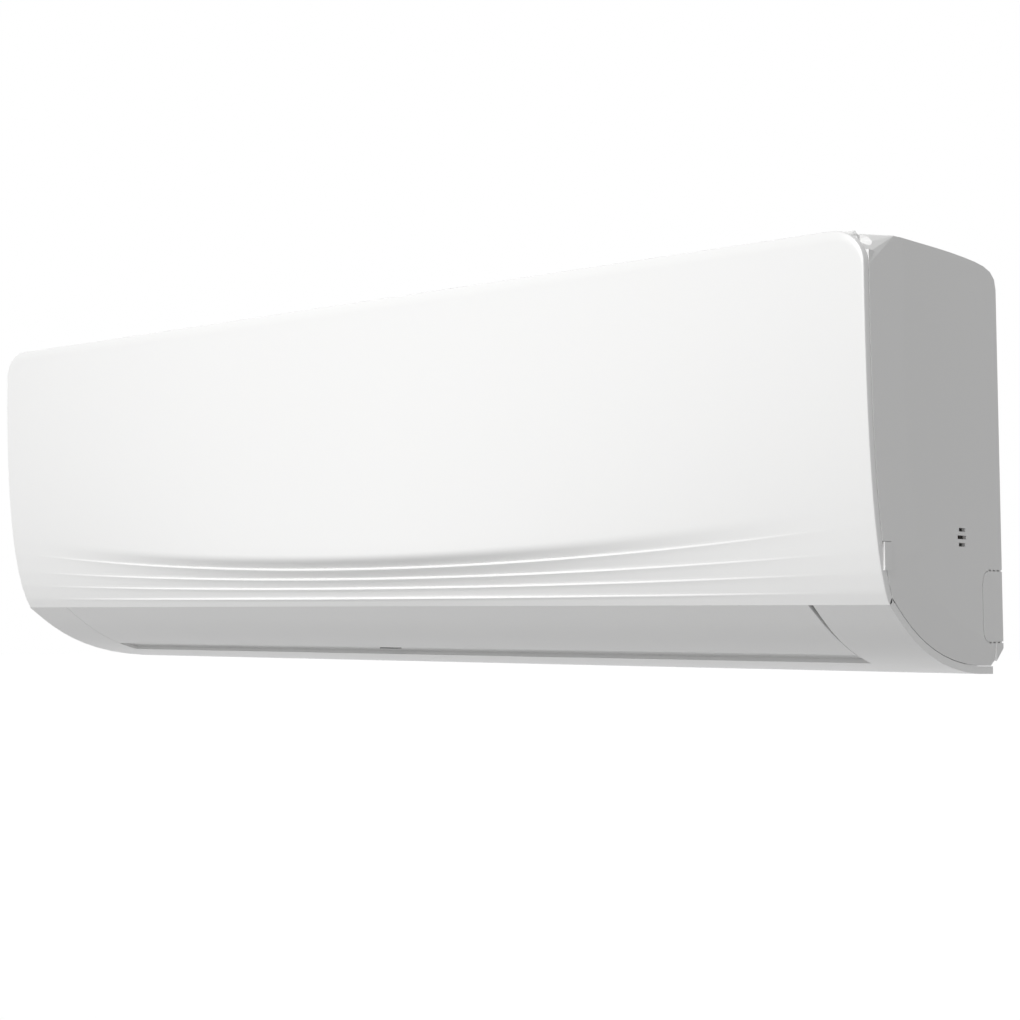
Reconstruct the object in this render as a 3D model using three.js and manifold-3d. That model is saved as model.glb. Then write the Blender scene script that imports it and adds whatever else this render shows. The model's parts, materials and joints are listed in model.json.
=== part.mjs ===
// Indoor unit of a mini split air conditioner: a wall-hung case with a sculpted front panel, an air louver
// and two groups of vanes at its outlet, and the heat exchanger, cross-flow fan, drives and controls inside.
//
// Millimetres. X runs along the unit to the right as seen from the room, Y runs to the wall, Z is up.
// The origin is on the wall, at the middle of the wall plate's back face.

import * as THREE from "three";
import { mergeVertices } from "three/addons/utils/BufferGeometryUtils.js";
import Module from "manifold-3d";

const wasm = await Module();
wasm.setup();

// ---------------------------------------------------------------- driving dimensions

const gap = 0.3; // clearance between pieces that touch

// Outside
const caseWidth = 805;
const caseHeight = 263;
const panelWidth = 800;
const panelDepth = 194.7; // wall to the panel's flat upper face
const panelTopDrop = 3.6; // panel's top edge below the highest point of the case
const panelCorner = 20.5; // radius of the panel's upper corners
const seamHeight = 43.7; // seam between panel and louver, above the bottom
const seamDepth = 167.2; // wall to that seam
const seamAngle = 54.7; // slope of the panel's foot, degrees below level
const panelSwell = 80; // how far down the upper face stays upright
const footSwell = 41.4; // how far up the foot's slope is felt
const louverSlope = 33.4; // slope of the outlet's skin at the seam, degrees below level
const louverSwell = 24.7;
const bottomSwell = 95.7; // how far forward the level bottom is felt
const bottomRearDepth = 18; // wall to the rear edge of the bottom
const skinSteps = 12; // facets along each half of the front outline

// Front panel
const panelWall = 2.6;
const panelRim = 5.7; // depth of the panel's end and top edges
const creaseHeight = 33.6; // arc step above the seam, at the middle
const creaseRise = 23.9; // how much higher the arc is at the panel's ends
const creaseStand = 7.4; // how far the step stands out at the middle
const swellTop = 96; // height above the seam where the step's swell begins
const ridgeHeights = [25.8, 18.9, 12.2, 5.2]; // above the seam, at the middle
const ridgeRises = [20.6, 11.8, 6.3, 1.9]; // rise of each ridge at the panel's ends
const ridgeStand = 0.85; // half of a ridge's height off the panel
const ridgeLedge = 1.1; // height of the ledge over a ridge
const panelColumns = 18;
const hingeInset = 9.7; // hinge axis behind the panel's front face
const hingeDrop = 3.4; // hinge axis below the panel's top edge
const hingeArmX = 376; // inner side of each hinge arm
const hingeArmWide = 5;
const pinRadius = 2.2;
const hingeClear = 5.8; // room round the hinge axis for the panel's turning edge

// Case
const caseWall = 2.4;
const bandWidth = 39.5; // flat band round the front of each side
const bandWidthRear = 17; // the same band at its rear end
const topFall = 3.8; // top's front edge below its highest line
const topPeak = 60; // wall to that line
const topSwell = 42; // how far behind its front edge, and ahead of its highest line, the top runs level
const topRearSwell = 30; // the same behind the highest line
const rearCorner = 13.5; // height of the curve from the top to the rear edge of the sides
const sideRearHead = 9.7; // wall to that edge at its upper end
const sideRearFoot = 6.4; // and at its lower end
const cornerTaper = 29; // how far back the round front corners of the case run out into sharp ones
const cornerSharp = 0.4; // radius that is left there
const rearChamferHeight = 16.3;
const rearChamferDepth = 21.9;
const flangeWide = 12; // frame behind the panel's edges
const notchHigh = 16.8; // finger notch at each side of the panel
const notchHeight = 19.8; // its foot above the seam
const grilleFront = 30; // first grille slot behind the front of the top
const grilleRear = 24;
const slotWide = 9; // grille slots, front to rear
const slatWide = 6;
const slotLong = 150;
const slotBridge = 8;
const knockOutDepth = 39; // wall to the front of the pipe opening's outline
const knockOutHead = 66.2; // its upper and lower lines above the bottom
const knockOutFoot = 20.2;
const knockOutRadius = 9;
const dashLong = 4;
const dashPitch = 6.5;
const dashHigh = 1;

// Outlet
const louverHalf = 350.6; // half length of the outlet between its cheeks
const louverRearDepth = 110.2; // wall to the louver's rear edge
const lipDepth = 91.2; // wall to the lip behind the louver
const louverThick = 3;
const louverPivotForward = 12; // pivot ahead of the louver's rear edge
const louverPivotInset = 9; // pivot inside the skin
const louverEndGap = 3; // widest part of the wedge gap at the right end
const fasciaWall = 2.4;
const fasciaRim = 4.9; // depth of the bottom cover's end edges
const recessDeep = 3.4; // depth of the strip behind the louver
const cheekWall = 2.4;
const cheekDeep = 20; // cheek walls into the unit
const clipWide = 15; // middle bearing of the louver
const clipX = -43.5;
const edgeSwing = 0.8; // room round the louver's rear edge as it turns

// Fan
const fanRadius = 46;
const fanDepth = 84; // wall to the fan's axis
const fanHeight = 109.5; // fan's axis above the bottom
const fanHalfGap = 6; // each end of the fan to the chamber wall
const bladeCount = 18;
const bladeChord = 11;
const bladeThick = 1.1;
const discCount = 4;
const discThick = 2.2;
const shaftRadius = 4;
const chamberHalf = 346; // half length of the fan chamber
const tongueGap = 4.6; // fan to the edge of the duct ceiling
const voluteStart = 30; // degrees above level, behind the fan
const voluteFirst = 50; // radius of the volute at its start
const motorRadius = 41;
const motorLong = 40;

// Heat exchanger
const coilThick = 22;
const coilLeft = -334;
const coilRight = 300;
const lowerCoilDepth = 155; // wall to the middle of the upright front slab
const lowerCoilFoot = 79.5; // its foot above the bottom
const lowerCoilLong = 88;
const upperCoilDepth = 150;
const upperCoilFoot = 176;
const upperCoilLean = 45; // degrees above level
const upperCoilLong = 64;
const rearCoilDepth = 30;
const rearCoilFoot = 155.5;
const rearCoilLean = 128;
const rearCoilLong = 88;
const tubeRadius = 3.5;
const tubePitch = 21;
const plateThick = 1.5;
const plateMargin = 0.6; // end plates beyond the slabs

// Filters
const filterRadius = 120.5;
const filterDepth = 59; // wall to the centre of the filters' arc
const filterHeight = 129.5; // that centre above the bottom
const filterThick = 1.8;
const filterFoot = 200; // arc of a filter, degrees from the wall side, over the top
const filterHead = 75;
const filterBar = 4;
const filterSplit = -21; // middle of the bar between the two filters
const guideThick = 2.4;
const guideWide = 12;
const filterSteps = 15;
const filterPlay = 0.65; // filter to the rail under it, so that its facets can slide

// Vanes
const vanePitch = 54;
const vaneGroups = { left: { middle: -192, count: 5 }, right: { middle: 148, count: 6 } };
const vaneThick = 1.5;
const vaneDrop = 38;
const linkArm = 19.5; // vane pivot to the link bar
const linkThick = 2;
const linkWide = 6;
const linkLevel = 20; // link bar below the duct ceiling
const crankX = 328;

// Wall plate
const wallPlateWidth = 690;
const wallPlateHeight = 205;
const wallPlateThick = 1.2;
const backWallDepth = 6.2; // wall to the rear of the chassis

// Controls
const boxLeft = 312;
const boxWidth = 82;
const boxRear = 132; // wall to the rear of the control box
const boxDeep = 38;
const boxFoot = 90;
const boxHigh = 140;
const boxWall = 2;

// ---------------------------------------------------------------- derived places

const bottom = -caseHeight / 2;
const top = caseHeight / 2;
const panelTop = top - panelTopDrop;
const seam = [-seamDepth, bottom + seamHeight];
const panelHalf = panelWidth / 2;
const caseHalf = caseWidth / 2;
const innerHalf = caseHalf - caseWall;
const fanAxis = [-fanDepth, bottom + fanHeight];
const hingeAxis = [-panelDepth + hingeInset, panelTop - hingeDrop];
const guideXs = [coilLeft - 4, filterSplit, coilRight + 4];
const filterAxis = [-filterDepth, bottom + filterHeight];
const radians = THREE.MathUtils.degToRad;

// ---------------------------------------------------------------- outlines in the Y-Z plane

const polar = ([y, z], radius, degrees) => [
  y + radius * Math.cos(radians(degrees)),
  z + radius * Math.sin(radians(degrees)),
];

const curve = (points, steps) =>
  new THREE.CubicBezierCurve(...points.map(([y, z]) => new THREE.Vector2(y, z)))
    .getPoints(steps)
    .map((p) => [p.x, p.y]);

function arc(centre, radius, from, to, steps) {
  return Array.from({ length: steps + 1 }, (_, i) =>
    polar(centre, radius, from + ((to - from) * i) / steps));
}

// Moves a line of points to its left, which is into the unit for the outlines drawn from the top down.
function inward(points, distance) {
  return points.map(([y, z], i) => {
    const before = points[Math.max(i - 1, 0)];
    const after = points[Math.min(i + 1, points.length - 1)];
    const along = Math.hypot(after[0] - before[0], after[1] - before[1]);
    const far = typeof distance === "function" ? distance(i / (points.length - 1)) : distance;
    return [y - (far * (after[1] - before[1])) / along, z + (far * (after[0] - before[0])) / along];
  });
}

const band = (points, near, far) => [...inward(points, near), ...inward(points, far).reverse()];

const mix = (a, b, t) => a.map((value, i) => value + (b[i] - value) * t);

// The part of a line between two values of one coordinate, with its ends worked out exactly.
function between(points, axis, from, to) {
  const inside = (p) => (p[axis] - from) * (p[axis] - to) <= 0;
  const result = [];
  points.forEach((point, i) => {
    const next = points[i + 1];
    if (inside(point)) result.push(point);
    if (!next) return;
    const cuts = [from, to]
      .map((value) => (value - point[axis]) / (next[axis] - point[axis]))
      .filter((t) => t > 1e-6 && t < 1 - 1e-6)
      .sort((a, b) => a - b);
    for (const t of cuts) result.push(mix(point, next, t));
  });
  return result;
}

const panelCurve = curve(
  [[-panelDepth, panelTop], [-panelDepth, panelTop - panelSwell],
    polar(seam, footSwell, 180 - seamAngle), seam], skinSteps);
const outletCurve = curve(
  [seam, polar(seam, louverSwell, -louverSlope),
    [-bottomRearDepth - bottomSwell, bottom], [-bottomRearDepth, bottom]], skinSteps);

// ---------------------------------------------------------------- solids

// A closed surface of triangles as a solid that can be joined and cut.
function solid(geometry) {
  const bare = geometry.clone();
  bare.deleteAttribute("normal");
  bare.deleteAttribute("uv");
  const merged = mergeVertices(bare, 1e-4);
  const vertProperties = new Float32Array(merged.attributes.position.array);
  const triVerts = new Uint32Array(merged.index.array);
  const made = new wasm.Manifold(new wasm.Mesh({ numProp: 3, vertProperties, triVerts }));
  if (made.volume() > 0) return made;
  return new wasm.Manifold(
    new wasm.Mesh({ numProp: 3, vertProperties, triVerts: triVerts.reverse() }));
}

const join = (first, ...others) => others.reduce((whole, other) => whole.add(other), first);
const cut = (first, ...others) => others.reduce((whole, other) => whole.subtract(other), first);

const shapeOf = (outline) => new THREE.Shape(outline.map(([a, b]) => new THREE.Vector2(a, b)));

function extrude(outline, depth, xAxis, yAxis, zAxis, origin) {
  const body = new THREE.ExtrudeGeometry(shapeOf(outline), { depth, bevelEnabled: false });
  const place = new THREE.Matrix4().makeBasis(xAxis, yAxis, zAxis).setPosition(...origin);
  return solid(body.applyMatrix4(place));
}

const X = new THREE.Vector3(1, 0, 0);
const Y = new THREE.Vector3(0, 1, 0);
const Z = new THREE.Vector3(0, 0, 1);

// A Y-Z outline run along X, an X-Z outline run along Y, and an X-Y outline run along Z.
const alongX = (outline, from, to) => extrude(outline, to - from, Y, Z, X, [from, 0, 0]);
const alongY = (outline, from, to) =>
  extrude(outline, to - from, X, Z, Y.clone().negate(), [0, to, 0]);
const alongZ = (outline, from, to) => extrude(outline, to - from, X, Y, Z, [0, 0, from]);

// Both ends of a piece along X on one side of the unit, smaller first.
const span = (side, a, b) => (side > 0 ? [a, b] : [-b, -a]);

const rectangle = (a0, a1, b0, b1) => [[a0, b0], [a1, b0], [a1, b1], [a0, b1]];
const block = (x0, x1, y0, y1, z0, z1) => alongX(rectangle(y0, y1, z0, z1), x0, x1);

// A round bar along X at a place in the Y-Z plane.
const barX = (centre, radius, from, to, sides = 16) =>
  alongX(arc(centre, radius, 0, 360 - 360 / sides, sides - 1), from, to);

// A ring or round bar between two radii, along any direction from a point.
function turned(profile, origin, direction, sides = 20) {
  const points = profile.map(([r, h]) => new THREE.Vector2(r, h));
  const body = new THREE.LatheGeometry([...points, points[0]], sides);
  const turn = new THREE.Quaternion().setFromUnitVectors(Y, direction.clone().normalize());
  body.applyQuaternion(turn).translate(...origin);
  return solid(body);
}

const roundBar = (origin, direction, radius, length, sides = 12) =>
  turned([[0, 0], [radius, 0], [radius, length], [0, length]], origin, direction, sides);

// A skin stretched over sections that all have as many points, with flat ends.
function loft(sections) {
  const count = sections[0].length;
  const faces = [];
  sections.slice(1).forEach((_, s) => {
    for (let i = 0; i < count; i += 1) {
      const a = s * count + i;
      const b = s * count + ((i + 1) % count);
      faces.push(a, b, b + count, a, b + count, a + count);
    }
  });
  const last = (sections.length - 1) * count;
  for (let i = 1; i < count - 1; i += 1) {
    faces.push(0, i + 1, i, last, last + i, last + i + 1);
  }
  const geometry = new THREE.BufferGeometry();
  geometry.setAttribute("position", new THREE.Float32BufferAttribute(sections.flat(2), 3));
  geometry.setIndex(faces);
  return solid(geometry);
}

// Front view of a body with rounded upper corners.
function archedFront(half, foot, head, radius) {
  const corner = (sign, from, to) => arc([sign * (half - radius), head - radius], radius, from, to, 5);
  return [[-half, foot], [half, foot], ...corner(1, 0, 90), ...corner(-1, 90, 180)];
}

const unit = new THREE.Group();

// Adds a piece to the unit under its own name, with its own material.
function piece(name, shape, color, roughness = 0.5, metalness = 0) {
  const { vertProperties, triVerts } = shape.getMesh();
  const geometry = new THREE.BufferGeometry();
  geometry.setAttribute("position", new THREE.BufferAttribute(new Float32Array(vertProperties), 3));
  geometry.setIndex(new THREE.BufferAttribute(new Uint32Array(triVerts), 1));
  const mesh = new THREE.Mesh(
    geometry, new THREE.MeshStandardMaterial({ color, roughness, metalness, flatShading: true }));
  mesh.name = name;
  unit.add(mesh);
}

const white = 0xf2f2f0;
const pale = 0xdcdcda;
const grey = 0x8b8d90;
const dark = 0x2b2c2e;
const steel = 0xb9bcc0;
const aluminium = 0xc9ccd0;
const copper = 0xb87345;

// ---------------------------------------------------------------- front panel

// How far the panel stands off its plain outline, at a height above the seam and a place along X.
function panelStand(height, x) {
  const fade = Math.max(0, 1 - (x / panelHalf) ** 2 * 1.12);
  const crease = creaseHeight + creaseRise * (x / panelHalf) ** 2;
  if (height >= swellTop) return 0;
  if (height >= crease) {
    return creaseStand * fade * (1 - (height - crease) / (swellTop - crease)) ** 2;
  }
  return creaseStand * fade * (height / crease);
}

// Rows of one column of the panel, from its top edge to the seam: height above the seam and stand-off.
function panelRows(x, ridged) {
  const share = (x / panelHalf) ** 2;
  const fade = Math.max(0, 1 - share * 1.12);
  const crease = creaseHeight + creaseRise * share;
  const height = panelTop - seam[1];
  const rows = [0, 0.14, 0.3, 0.48, 0.7, 1].map((t) => height + (swellTop - height) * t);
  for (const t of [0.3, 0.55, 0.76, 0.92]) rows.push(swellTop + (crease - swellTop) * t);
  const result = rows.map((h) => [h, panelStand(h, x)]);
  result.push([crease, panelStand(crease, x)]);
  result.push([crease - 1.2, panelStand(crease - 1.2, x) - 0.35 * fade]);
  if (ridged) ridgeHeights.forEach((middle, i) => {
    const h = middle + ridgeRises[i] * share;
    result.push([h + ridgeLedge, panelStand(h + ridgeLedge, x) - ridgeStand * fade]);
    result.push([h, panelStand(h, x) + ridgeStand * fade]);
    result.push([h - 0.8, panelStand(h - 0.8, x) + 0.3 * ridgeStand * fade]);
  });
  result.push([0, 0]);
  return result;
}

// The panel's front face, or its inner one a wall behind it, with all that lies behind.
function panelSkin(inset) {
  const outline = curve(
    [[-panelDepth, panelTop], [-panelDepth, panelTop - panelSwell],
      polar(seam, footSwell, 180 - seamAngle), seam], 120);
  const middle = Array.from({ length: panelColumns - 1 }, (_, i) =>
    -panelHalf + ((i + 1) * panelWidth) / panelColumns);
  const edges = [-panelHalf, 1.6 - panelHalf];
  const columns = [...edges, ...middle, ...edges.map((x) => -x).reverse()];
  const rear = -seamDepth + 30;
  return loft(columns.map((x) => {
    const rounding = Math.abs(x) === panelHalf ? -1.1 : 0;
    const front = panelRows(x, inset === 0).map(([height, stand]) => {
      const [here, next] = [seam[1] + height, seam[1] + height - 0.5];
      const [y0, y1] = [here, next].map((z) => outlineDepth(outline, z));
      const along = Math.hypot(y1 - y0, next - here);
      const off = stand + rounding - inset;
      return [x, y0 + (off * (next - here)) / along, here - (off * (y1 - y0)) / along];
    });
    return [...front, [x, rear, seam[1]], [x, rear, panelTop]];
  }));
}

// Y of a falling outline at a height, run straight on past its ends.
function outlineDepth(outline, z) {
  let i = outline.findIndex((point) => point[1] <= z);
  if (i < 1) i = i === 0 ? 1 : outline.length - 1;
  const [a, b] = [outline[i - 1], outline[i]];
  return a[0] + ((b[0] - a[0]) * (z - a[1])) / (b[1] - a[1]);
}

function frontPanel() {
  const far = -seamDepth + 60;
  const rim = inward(panelCurve, panelRim);
  const rimLine = [[rim[0][0], panelTop + 20], ...rim, [far, rim.at(-1)[1] - 40]];
  const rearSpace = alongX([...rimLine, [far, panelTop + 20]], -panelHalf - 1, panelHalf + 1);
  const hollowHalf = panelHalf - panelWall;
  const opening = archedFront(hollowHalf, seam[1] + panelWall, panelTop - panelWall, panelCorner - panelWall);
  const cavity = panelSkin(panelWall).intersect(alongY(opening, -300, 0));
  const outline = alongY(archedFront(panelHalf, bottom, panelTop, panelCorner), -300, 0);
  const shell = cut(panelSkin(0).intersect(outline), rearSpace, cavity, belowSeam());
  return join(shell, ...[-1, 1].map(hingeArm));
}

// Everything behind and below the face on which the panel's foot meets the louver.
function belowSeam() {
  const across = polar([0, 0], 1, 90 - louverSlope);
  const start = polar(seam, gap * 1.5, 180 - seamAngle);
  const at = (t) => [start[0] + across[0] * t, start[1] + across[1] * t];
  return alongX([at(-6), [start[0] + 70, start[1] - 40], [start[0] + 90, at(40)[1]], at(40)],
    -panelHalf - 1, panelHalf + 1);
}

// An arm behind the panel's top edge with the pin that the panel turns on.
function hingeArm(side) {
  const [y, z] = hingeAxis;
  const front = -panelDepth + panelWall / 2;
  const arm = [[front, panelTop - panelWall / 2], [y - 2, panelTop - panelWall / 2],
    ...arc([y, z], pinRadius + 1, 60, -60, 4), [y - 3, z - 16], [front, z - 24]];
  const outer = hingeArmX + hingeArmWide;
  return join(
    alongX(arm, ...span(side, hingeArmX, outer)),
    barX([y, z], pinRadius, ...span(side, hingeArmX, outer + 6), 12));
}

// ---------------------------------------------------------------- case

const caseFrontEdge = inward(panelCurve, panelRim + gap);
const caseLowerEdge = inward(outletCurve, fasciaRim + gap);
const edgeMeet = mix(caseFrontEdge.at(-1), caseLowerEdge[0], 0.5);
const caseEdge = [...caseFrontEdge.slice(0, -1), edgeMeet, ...caseLowerEdge.slice(2)];

// The rear and top of the case from its lower rear corner to the front of its top.
const caseFront = caseFrontEdge[0][0];
const caseBack = [
  ...curve([[-sideRearHead, top - rearCorner], [-sideRearHead, top], [topRearSwell - topPeak, top],
    [-topPeak, top]], 5),
  ...curve([[-topPeak, top], [-topPeak - topSwell, top], [caseFront + topSwell, top - topFall],
    [caseFront, top - topFall]], 6).slice(1)];

// Side view of the room in the case, between the frame behind the panel, the rear and the top.
function roomOutline(inset) {
  const front = inward(panelCurve, panelRim + gap + inset);
  const roof = top - topFall - inset;
  return [[front[0][0], roof], ...between(front, 1, roof - 1, front.at(-1)[1]),
    ...inward(caseBack, inset).slice(0, -1)];
}

function caseSideOutline() {
  const rearFoot = bottom + rearChamferHeight;
  const low = between(caseEdge.slice(1), 0, caseFront, -rearChamferDepth);
  return [...low, [-rearChamferDepth, bottom + 5.6], [-sideRearFoot, rearFoot], ...caseBack];
}

// The wedge cut off each side so that its front band slopes in to meet the panel.
function bandSlope(side) {
  const width = (t) => (t < 0.5 ? bandWidth : bandWidth + (bandWidthRear - bandWidth) * (2 * t - 1));
  const start = [caseEdge[0][0], top + 20];
  const line = [start, ...caseEdge.slice(1)];
  const facet = inward(line, width);
  const outer = inward(line, -1);
  const edgeX = panelHalf + gap;
  const slope = (caseHalf - edgeX) / bandWidth;
  return loft(line.map((_, i) => [
    [side * (edgeX - slope), ...outer[i]],
    [side * caseHalf, ...facet[i]],
    [side * (caseHalf + 5), ...facet[i]],
    [side * (caseHalf + 5), ...outer[i]],
  ]));
}

// What lies outside an upper front corner of the case: round like the panel's at the front, and run out
// to a sharp corner behind it.
function topCorner(side, inset) {
  const places = [-10, 0, 0.25, 0.5, 0.75, 1, 1.2].map((t) => caseFront + Math.max(t, -10) * cornerTaper);
  return loft(places.map((y) => {
    const share = Math.min(Math.max((y - caseFront) / cornerTaper, 0), 1);
    const slope = Math.min(Math.max((y - caseFront) / bandWidth, 0), 1);
    const full = panelCorner + gap - inset;
    const radius = full + (cornerSharp - full) * share;
    const edgeX = panelHalf + gap + (caseHalf - panelHalf - gap) * slope - inset;
    const roof = crownAt(y) - inset;
    const round = arc([edgeX - radius, roof - radius], radius, 0, 90, 5);
    const outside = [[edgeX - radius, roof + 12], [edgeX + 12, roof + 12], [edgeX + 12, roof - radius]];
    return [...round, ...outside].map(([x, z]) => [side * x, y, z]);
  }));
}

// Height of the top at a depth.
function crownAt(y) {
  const i = caseBack.findIndex((point, at) => at > 0 && point[0] <= y);
  if (i < 0) return caseBack.at(-1)[1];
  const [a, b] = [caseBack[i - 1], caseBack[i]];
  return a[1] + ((b[1] - a[1]) * (y - a[0])) / (b[0] - a[0]);
}

function caseShell() {
  const outer = alongX(caseSideOutline(), -caseHalf, caseHalf);
  const roof = inward(caseBack, caseWall);
  const room = alongX([[-260, bottom - 40], [60, bottom - 40], [60, roof[0][1] - 10],
    [roof[0][0], roof[0][1] - 10], ...roof, [-260, roof.at(-1)[1]]], -innerHalf, innerHalf);
  const hollow = cut(room, topCorner(-1, caseWall), topCorner(1, caseWall));
  return cut(outer, hollow, bandSlope(-1), bandSlope(1), topCorner(-1, 0), topCorner(1, 0));
}

// Material behind the sloping band, and the frame that the panel's edges close against.
function sideFrame(side) {
  const edge = inward(panelCurve, panelRim + gap);
  const upright = between(edge, 1, top - topFall - 12, edge.at(-1)[1]);
  const low = between(caseEdge, 0, edge.at(-1)[0] + 3, -rearChamferDepth - 12);
  return join(
    alongX(band(upright, 0, 14), ...span(side, innerHalf - 2, innerHalf + 0.1)),
    alongX(band(upright, 0, 2.4), ...span(side, panelHalf - flangeWide, innerHalf + 0.1)),
    alongX(band(low, 0, 12), ...span(side, innerHalf - 2, innerHalf + 0.1)));
}

function frontRails() {
  const edge = inward(panelCurve, panelRim + gap);
  const foot = edge.at(-1)[1];
  const upper = between(edge, 1, top - topFall - 2, top - topFall - 20);
  const lower = between(edge, 1, foot + 26, foot + 2);
  const half = panelHalf - flangeWide / 2;
  return join(alongX(band(upper, 0, 2.4), -half, half), alongX(band(lower, 0, 2.4), -half, half));
}

// Curved bars that carry the filters' edges, each with a web up to the frame and the top.
function filterGuide(x, wide) {
  const under = filterRadius - filterThick - filterPlay;
  const inner = under - guideThick;
  const rail = arc(filterAxis, inner, filterHead, filterFoot, filterSteps);
  const railTop = arc(filterAxis, under, filterFoot, filterHead, filterSteps);
  const webTop = arc(filterAxis, filterRadius + 40, filterFoot, filterHead, filterSteps);
  const inside = alongX(roomOutline(1.2), x - wide, x + wide);
  const web = alongX([...rail, ...webTop], x - guideThick / 2, x + guideThick / 2).intersect(inside);
  return join(alongX([...rail, ...railTop], x - wide / 2, x + wide / 2), web);
}

// The curved wall behind the hinge line, which joins the top to the frame and lets the panel's edge turn.
function hingeGutter() {
  const [near, far] = [hingeClear, hingeClear + caseWall];
  return alongX([...arc(hingeAxis, far, -112, 42, 8), ...arc(hingeAxis, near, 42, -112, 8)],
    -innerHalf - 0.1, innerHalf + 0.1).subtract(topCorner(-1, 0)).subtract(topCorner(1, 0));
}

function hingeSockets() {
  const [y, z] = hingeAxis;
  const outer = hingeArmX + hingeArmWide;
  return [-1, 1].map((side) =>
    alongX(rectangle(y - 1, y + 12, z - 6, top - topFall - 1), ...span(side, outer + gap, outer + 9)));
}

function grilleSlots() {
  const slots = [];
  const pitch = slotLong + slotBridge;
  const columns = Math.floor((2 * (innerHalf - 20)) / pitch);
  const front = -panelDepth + grilleFront;
  const rows = Math.floor((panelDepth - grilleFront - grilleRear) / (slotWide + slatWide));
  for (let row = 0; row < rows; row += 1) {
    const y = front + row * (slotWide + slatWide);
    for (let column = 0; column < columns; column += 1) {
      const x = (column - (columns - 1) / 2) * pitch;
      slots.push(block(x - slotLong / 2, x + slotLong / 2, y, y + slotWide, top - 12, top + 10));
    }
  }
  return slots;
}

// Dashes through a side and a groove round their front end, along which the pipe opening is broken out.
function knockOut(side) {
  const [front, head, foot] = [-knockOutDepth, bottom + knockOutHead, bottom + knockOutFoot];
  const [x0, x1] = span(side, caseHalf - caseWall - 2, caseHalf + 1);
  const dashes = [];
  for (let y = -5; y > front + knockOutRadius + 1; y -= dashPitch) {
    for (const z of [head, foot]) {
      dashes.push(block(x0, x1, y - dashLong, y, z - dashHigh / 2, z + dashHigh / 2));
    }
  }
  const corner = (z, from) => arc([front + knockOutRadius, z], knockOutRadius, from, from + 90, 3);
  const line = [...corner(head - knockOutRadius, 90), ...corner(foot + knockOutRadius, 180)];
  return [...dashes, alongX(band(line, 0, dashHigh), ...span(side, caseHalf - caseWall / 3, caseHalf + 1))];
}

// Each slot's height above the seam, and its front and rear ends behind the seam.
const sensorSlots = [[46.9, 93.3, 102.9], [42.2, 91.2, 104.3], [37.6, 93, 102.6]];
const sensorSlotHigh = 2.3;

function caseFrame() {
  const [hingeY, hingeZ] = hingeAxis;
  const relief = join(
    barX(hingeAxis, hingeClear, -innerHalf - 3, innerHalf + 3, 16),
    block(-innerHalf - 3, innerHalf + 3, -260, hingeY, hingeZ, top + 20),
    block(-innerHalf - 3, innerHalf + 3, -260, hingeY + hingeClear, hingeZ + 0.1, top + 20));
  const armSlots = [-1, 1].map((side) => block(
    side * (hingeArmX + hingeArmWide / 2) - hingeArmWide / 2 - gap,
    side * (hingeArmX + hingeArmWide / 2) + hingeArmWide / 2 + gap, -260, hingeY + 9, hingeZ - 28, top - 9));
  const guides = guideXs.map((x) => filterGuide(x, guideWide));
  let body = join(caseShell(), sideFrame(-1), sideFrame(1), frontRails(), ...guides);
  body = cut(join(cut(body, relief), hingeGutter()), ...armSlots);
  body = join(body, ...hingeSockets());
  body = cut(body, barX(hingeAxis, pinRadius + gap, -innerHalf + 6, innerHalf - 6, 12));
  const notches = [-1, 1].map((side) => block(...span(side, panelHalf - 2, caseHalf + 2), -260,
    seam[0] + 1.9, seam[1] + notchHeight, seam[1] + notchHeight + notchHigh));
  const slots = sensorSlots.map(([z, y0, y1]) => block(innerHalf - 1, caseHalf + 1,
    seam[0] + y0, seam[0] + y1, seam[1] + z - sensorSlotHigh / 2, seam[1] + z + sensorSlotHigh / 2));
  return cut(body, ...grilleSlots(), ...notches, ...slots, ...knockOut(-1), ...knockOut(1));
}

// ---------------------------------------------------------------- bottom cover and louver

const louverEdge = between(outletCurve, 0, -louverRearDepth - 2, -louverRearDepth + 2);
const louverArc = between(outletCurve, 0, seam[0], -louverRearDepth);
const rearEdgeSlope = Math.atan2(
  louverEdge.at(-1)[1] - louverEdge[0][1], louverEdge.at(-1)[0] - louverEdge[0][0]);
const louverPivot = [
  louverArc.at(-1)[0] - louverPivotForward * Math.cos(rearEdgeSlope)
    - louverPivotInset * Math.sin(rearEdgeSlope),
  louverArc.at(-1)[1] - louverPivotForward * Math.sin(rearEdgeSlope)
    + louverPivotInset * Math.cos(rearEdgeSlope)];

const edgeRadius = Math.hypot(louverPivotForward, louverPivotInset) + edgeSwing;

function bottomCover() {
  const half = panelHalf;
  const shell = alongX(band(outletCurve, 0, fasciaWall), -half, half);
  const rims = [-1, 1].map((side) =>
    alongX(band(outletCurve, 0, fasciaRim), ...span(side, half - panelWall, half)));
  const strip = between(outletCurve, 0, -louverRearDepth + 4, -lipDepth);
  const wide = between(outletCurve, 0, -230, -lipDepth);
  const opening = alongX([[-230, seam[1] + 30], [-230, bottom - 30], [-lipDepth, bottom - 30],
    wide.at(-1), [wide.at(-1)[0] + 1, wide.at(-1)[1] + 8], [-lipDepth, seam[1] + 30]],
  -louverHalf, louverHalf);
  const floor = alongX(band(strip, recessDeep, recessDeep + fasciaWall),
    -louverHalf - 1, louverHalf + 1);
  const riser = between(outletCurve, 0, -lipDepth, -lipDepth + fasciaWall);
  const wall = alongX(band(riser, 0, recessDeep + fasciaWall), -louverHalf - 1, louverHalf + 1);
  const cheeks = [-1, 1].map(cheek);
  return cut(join(cut(join(shell, ...rims), opening), floor, wall, ...cheeks), clipSeat(gap));
}

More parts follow.
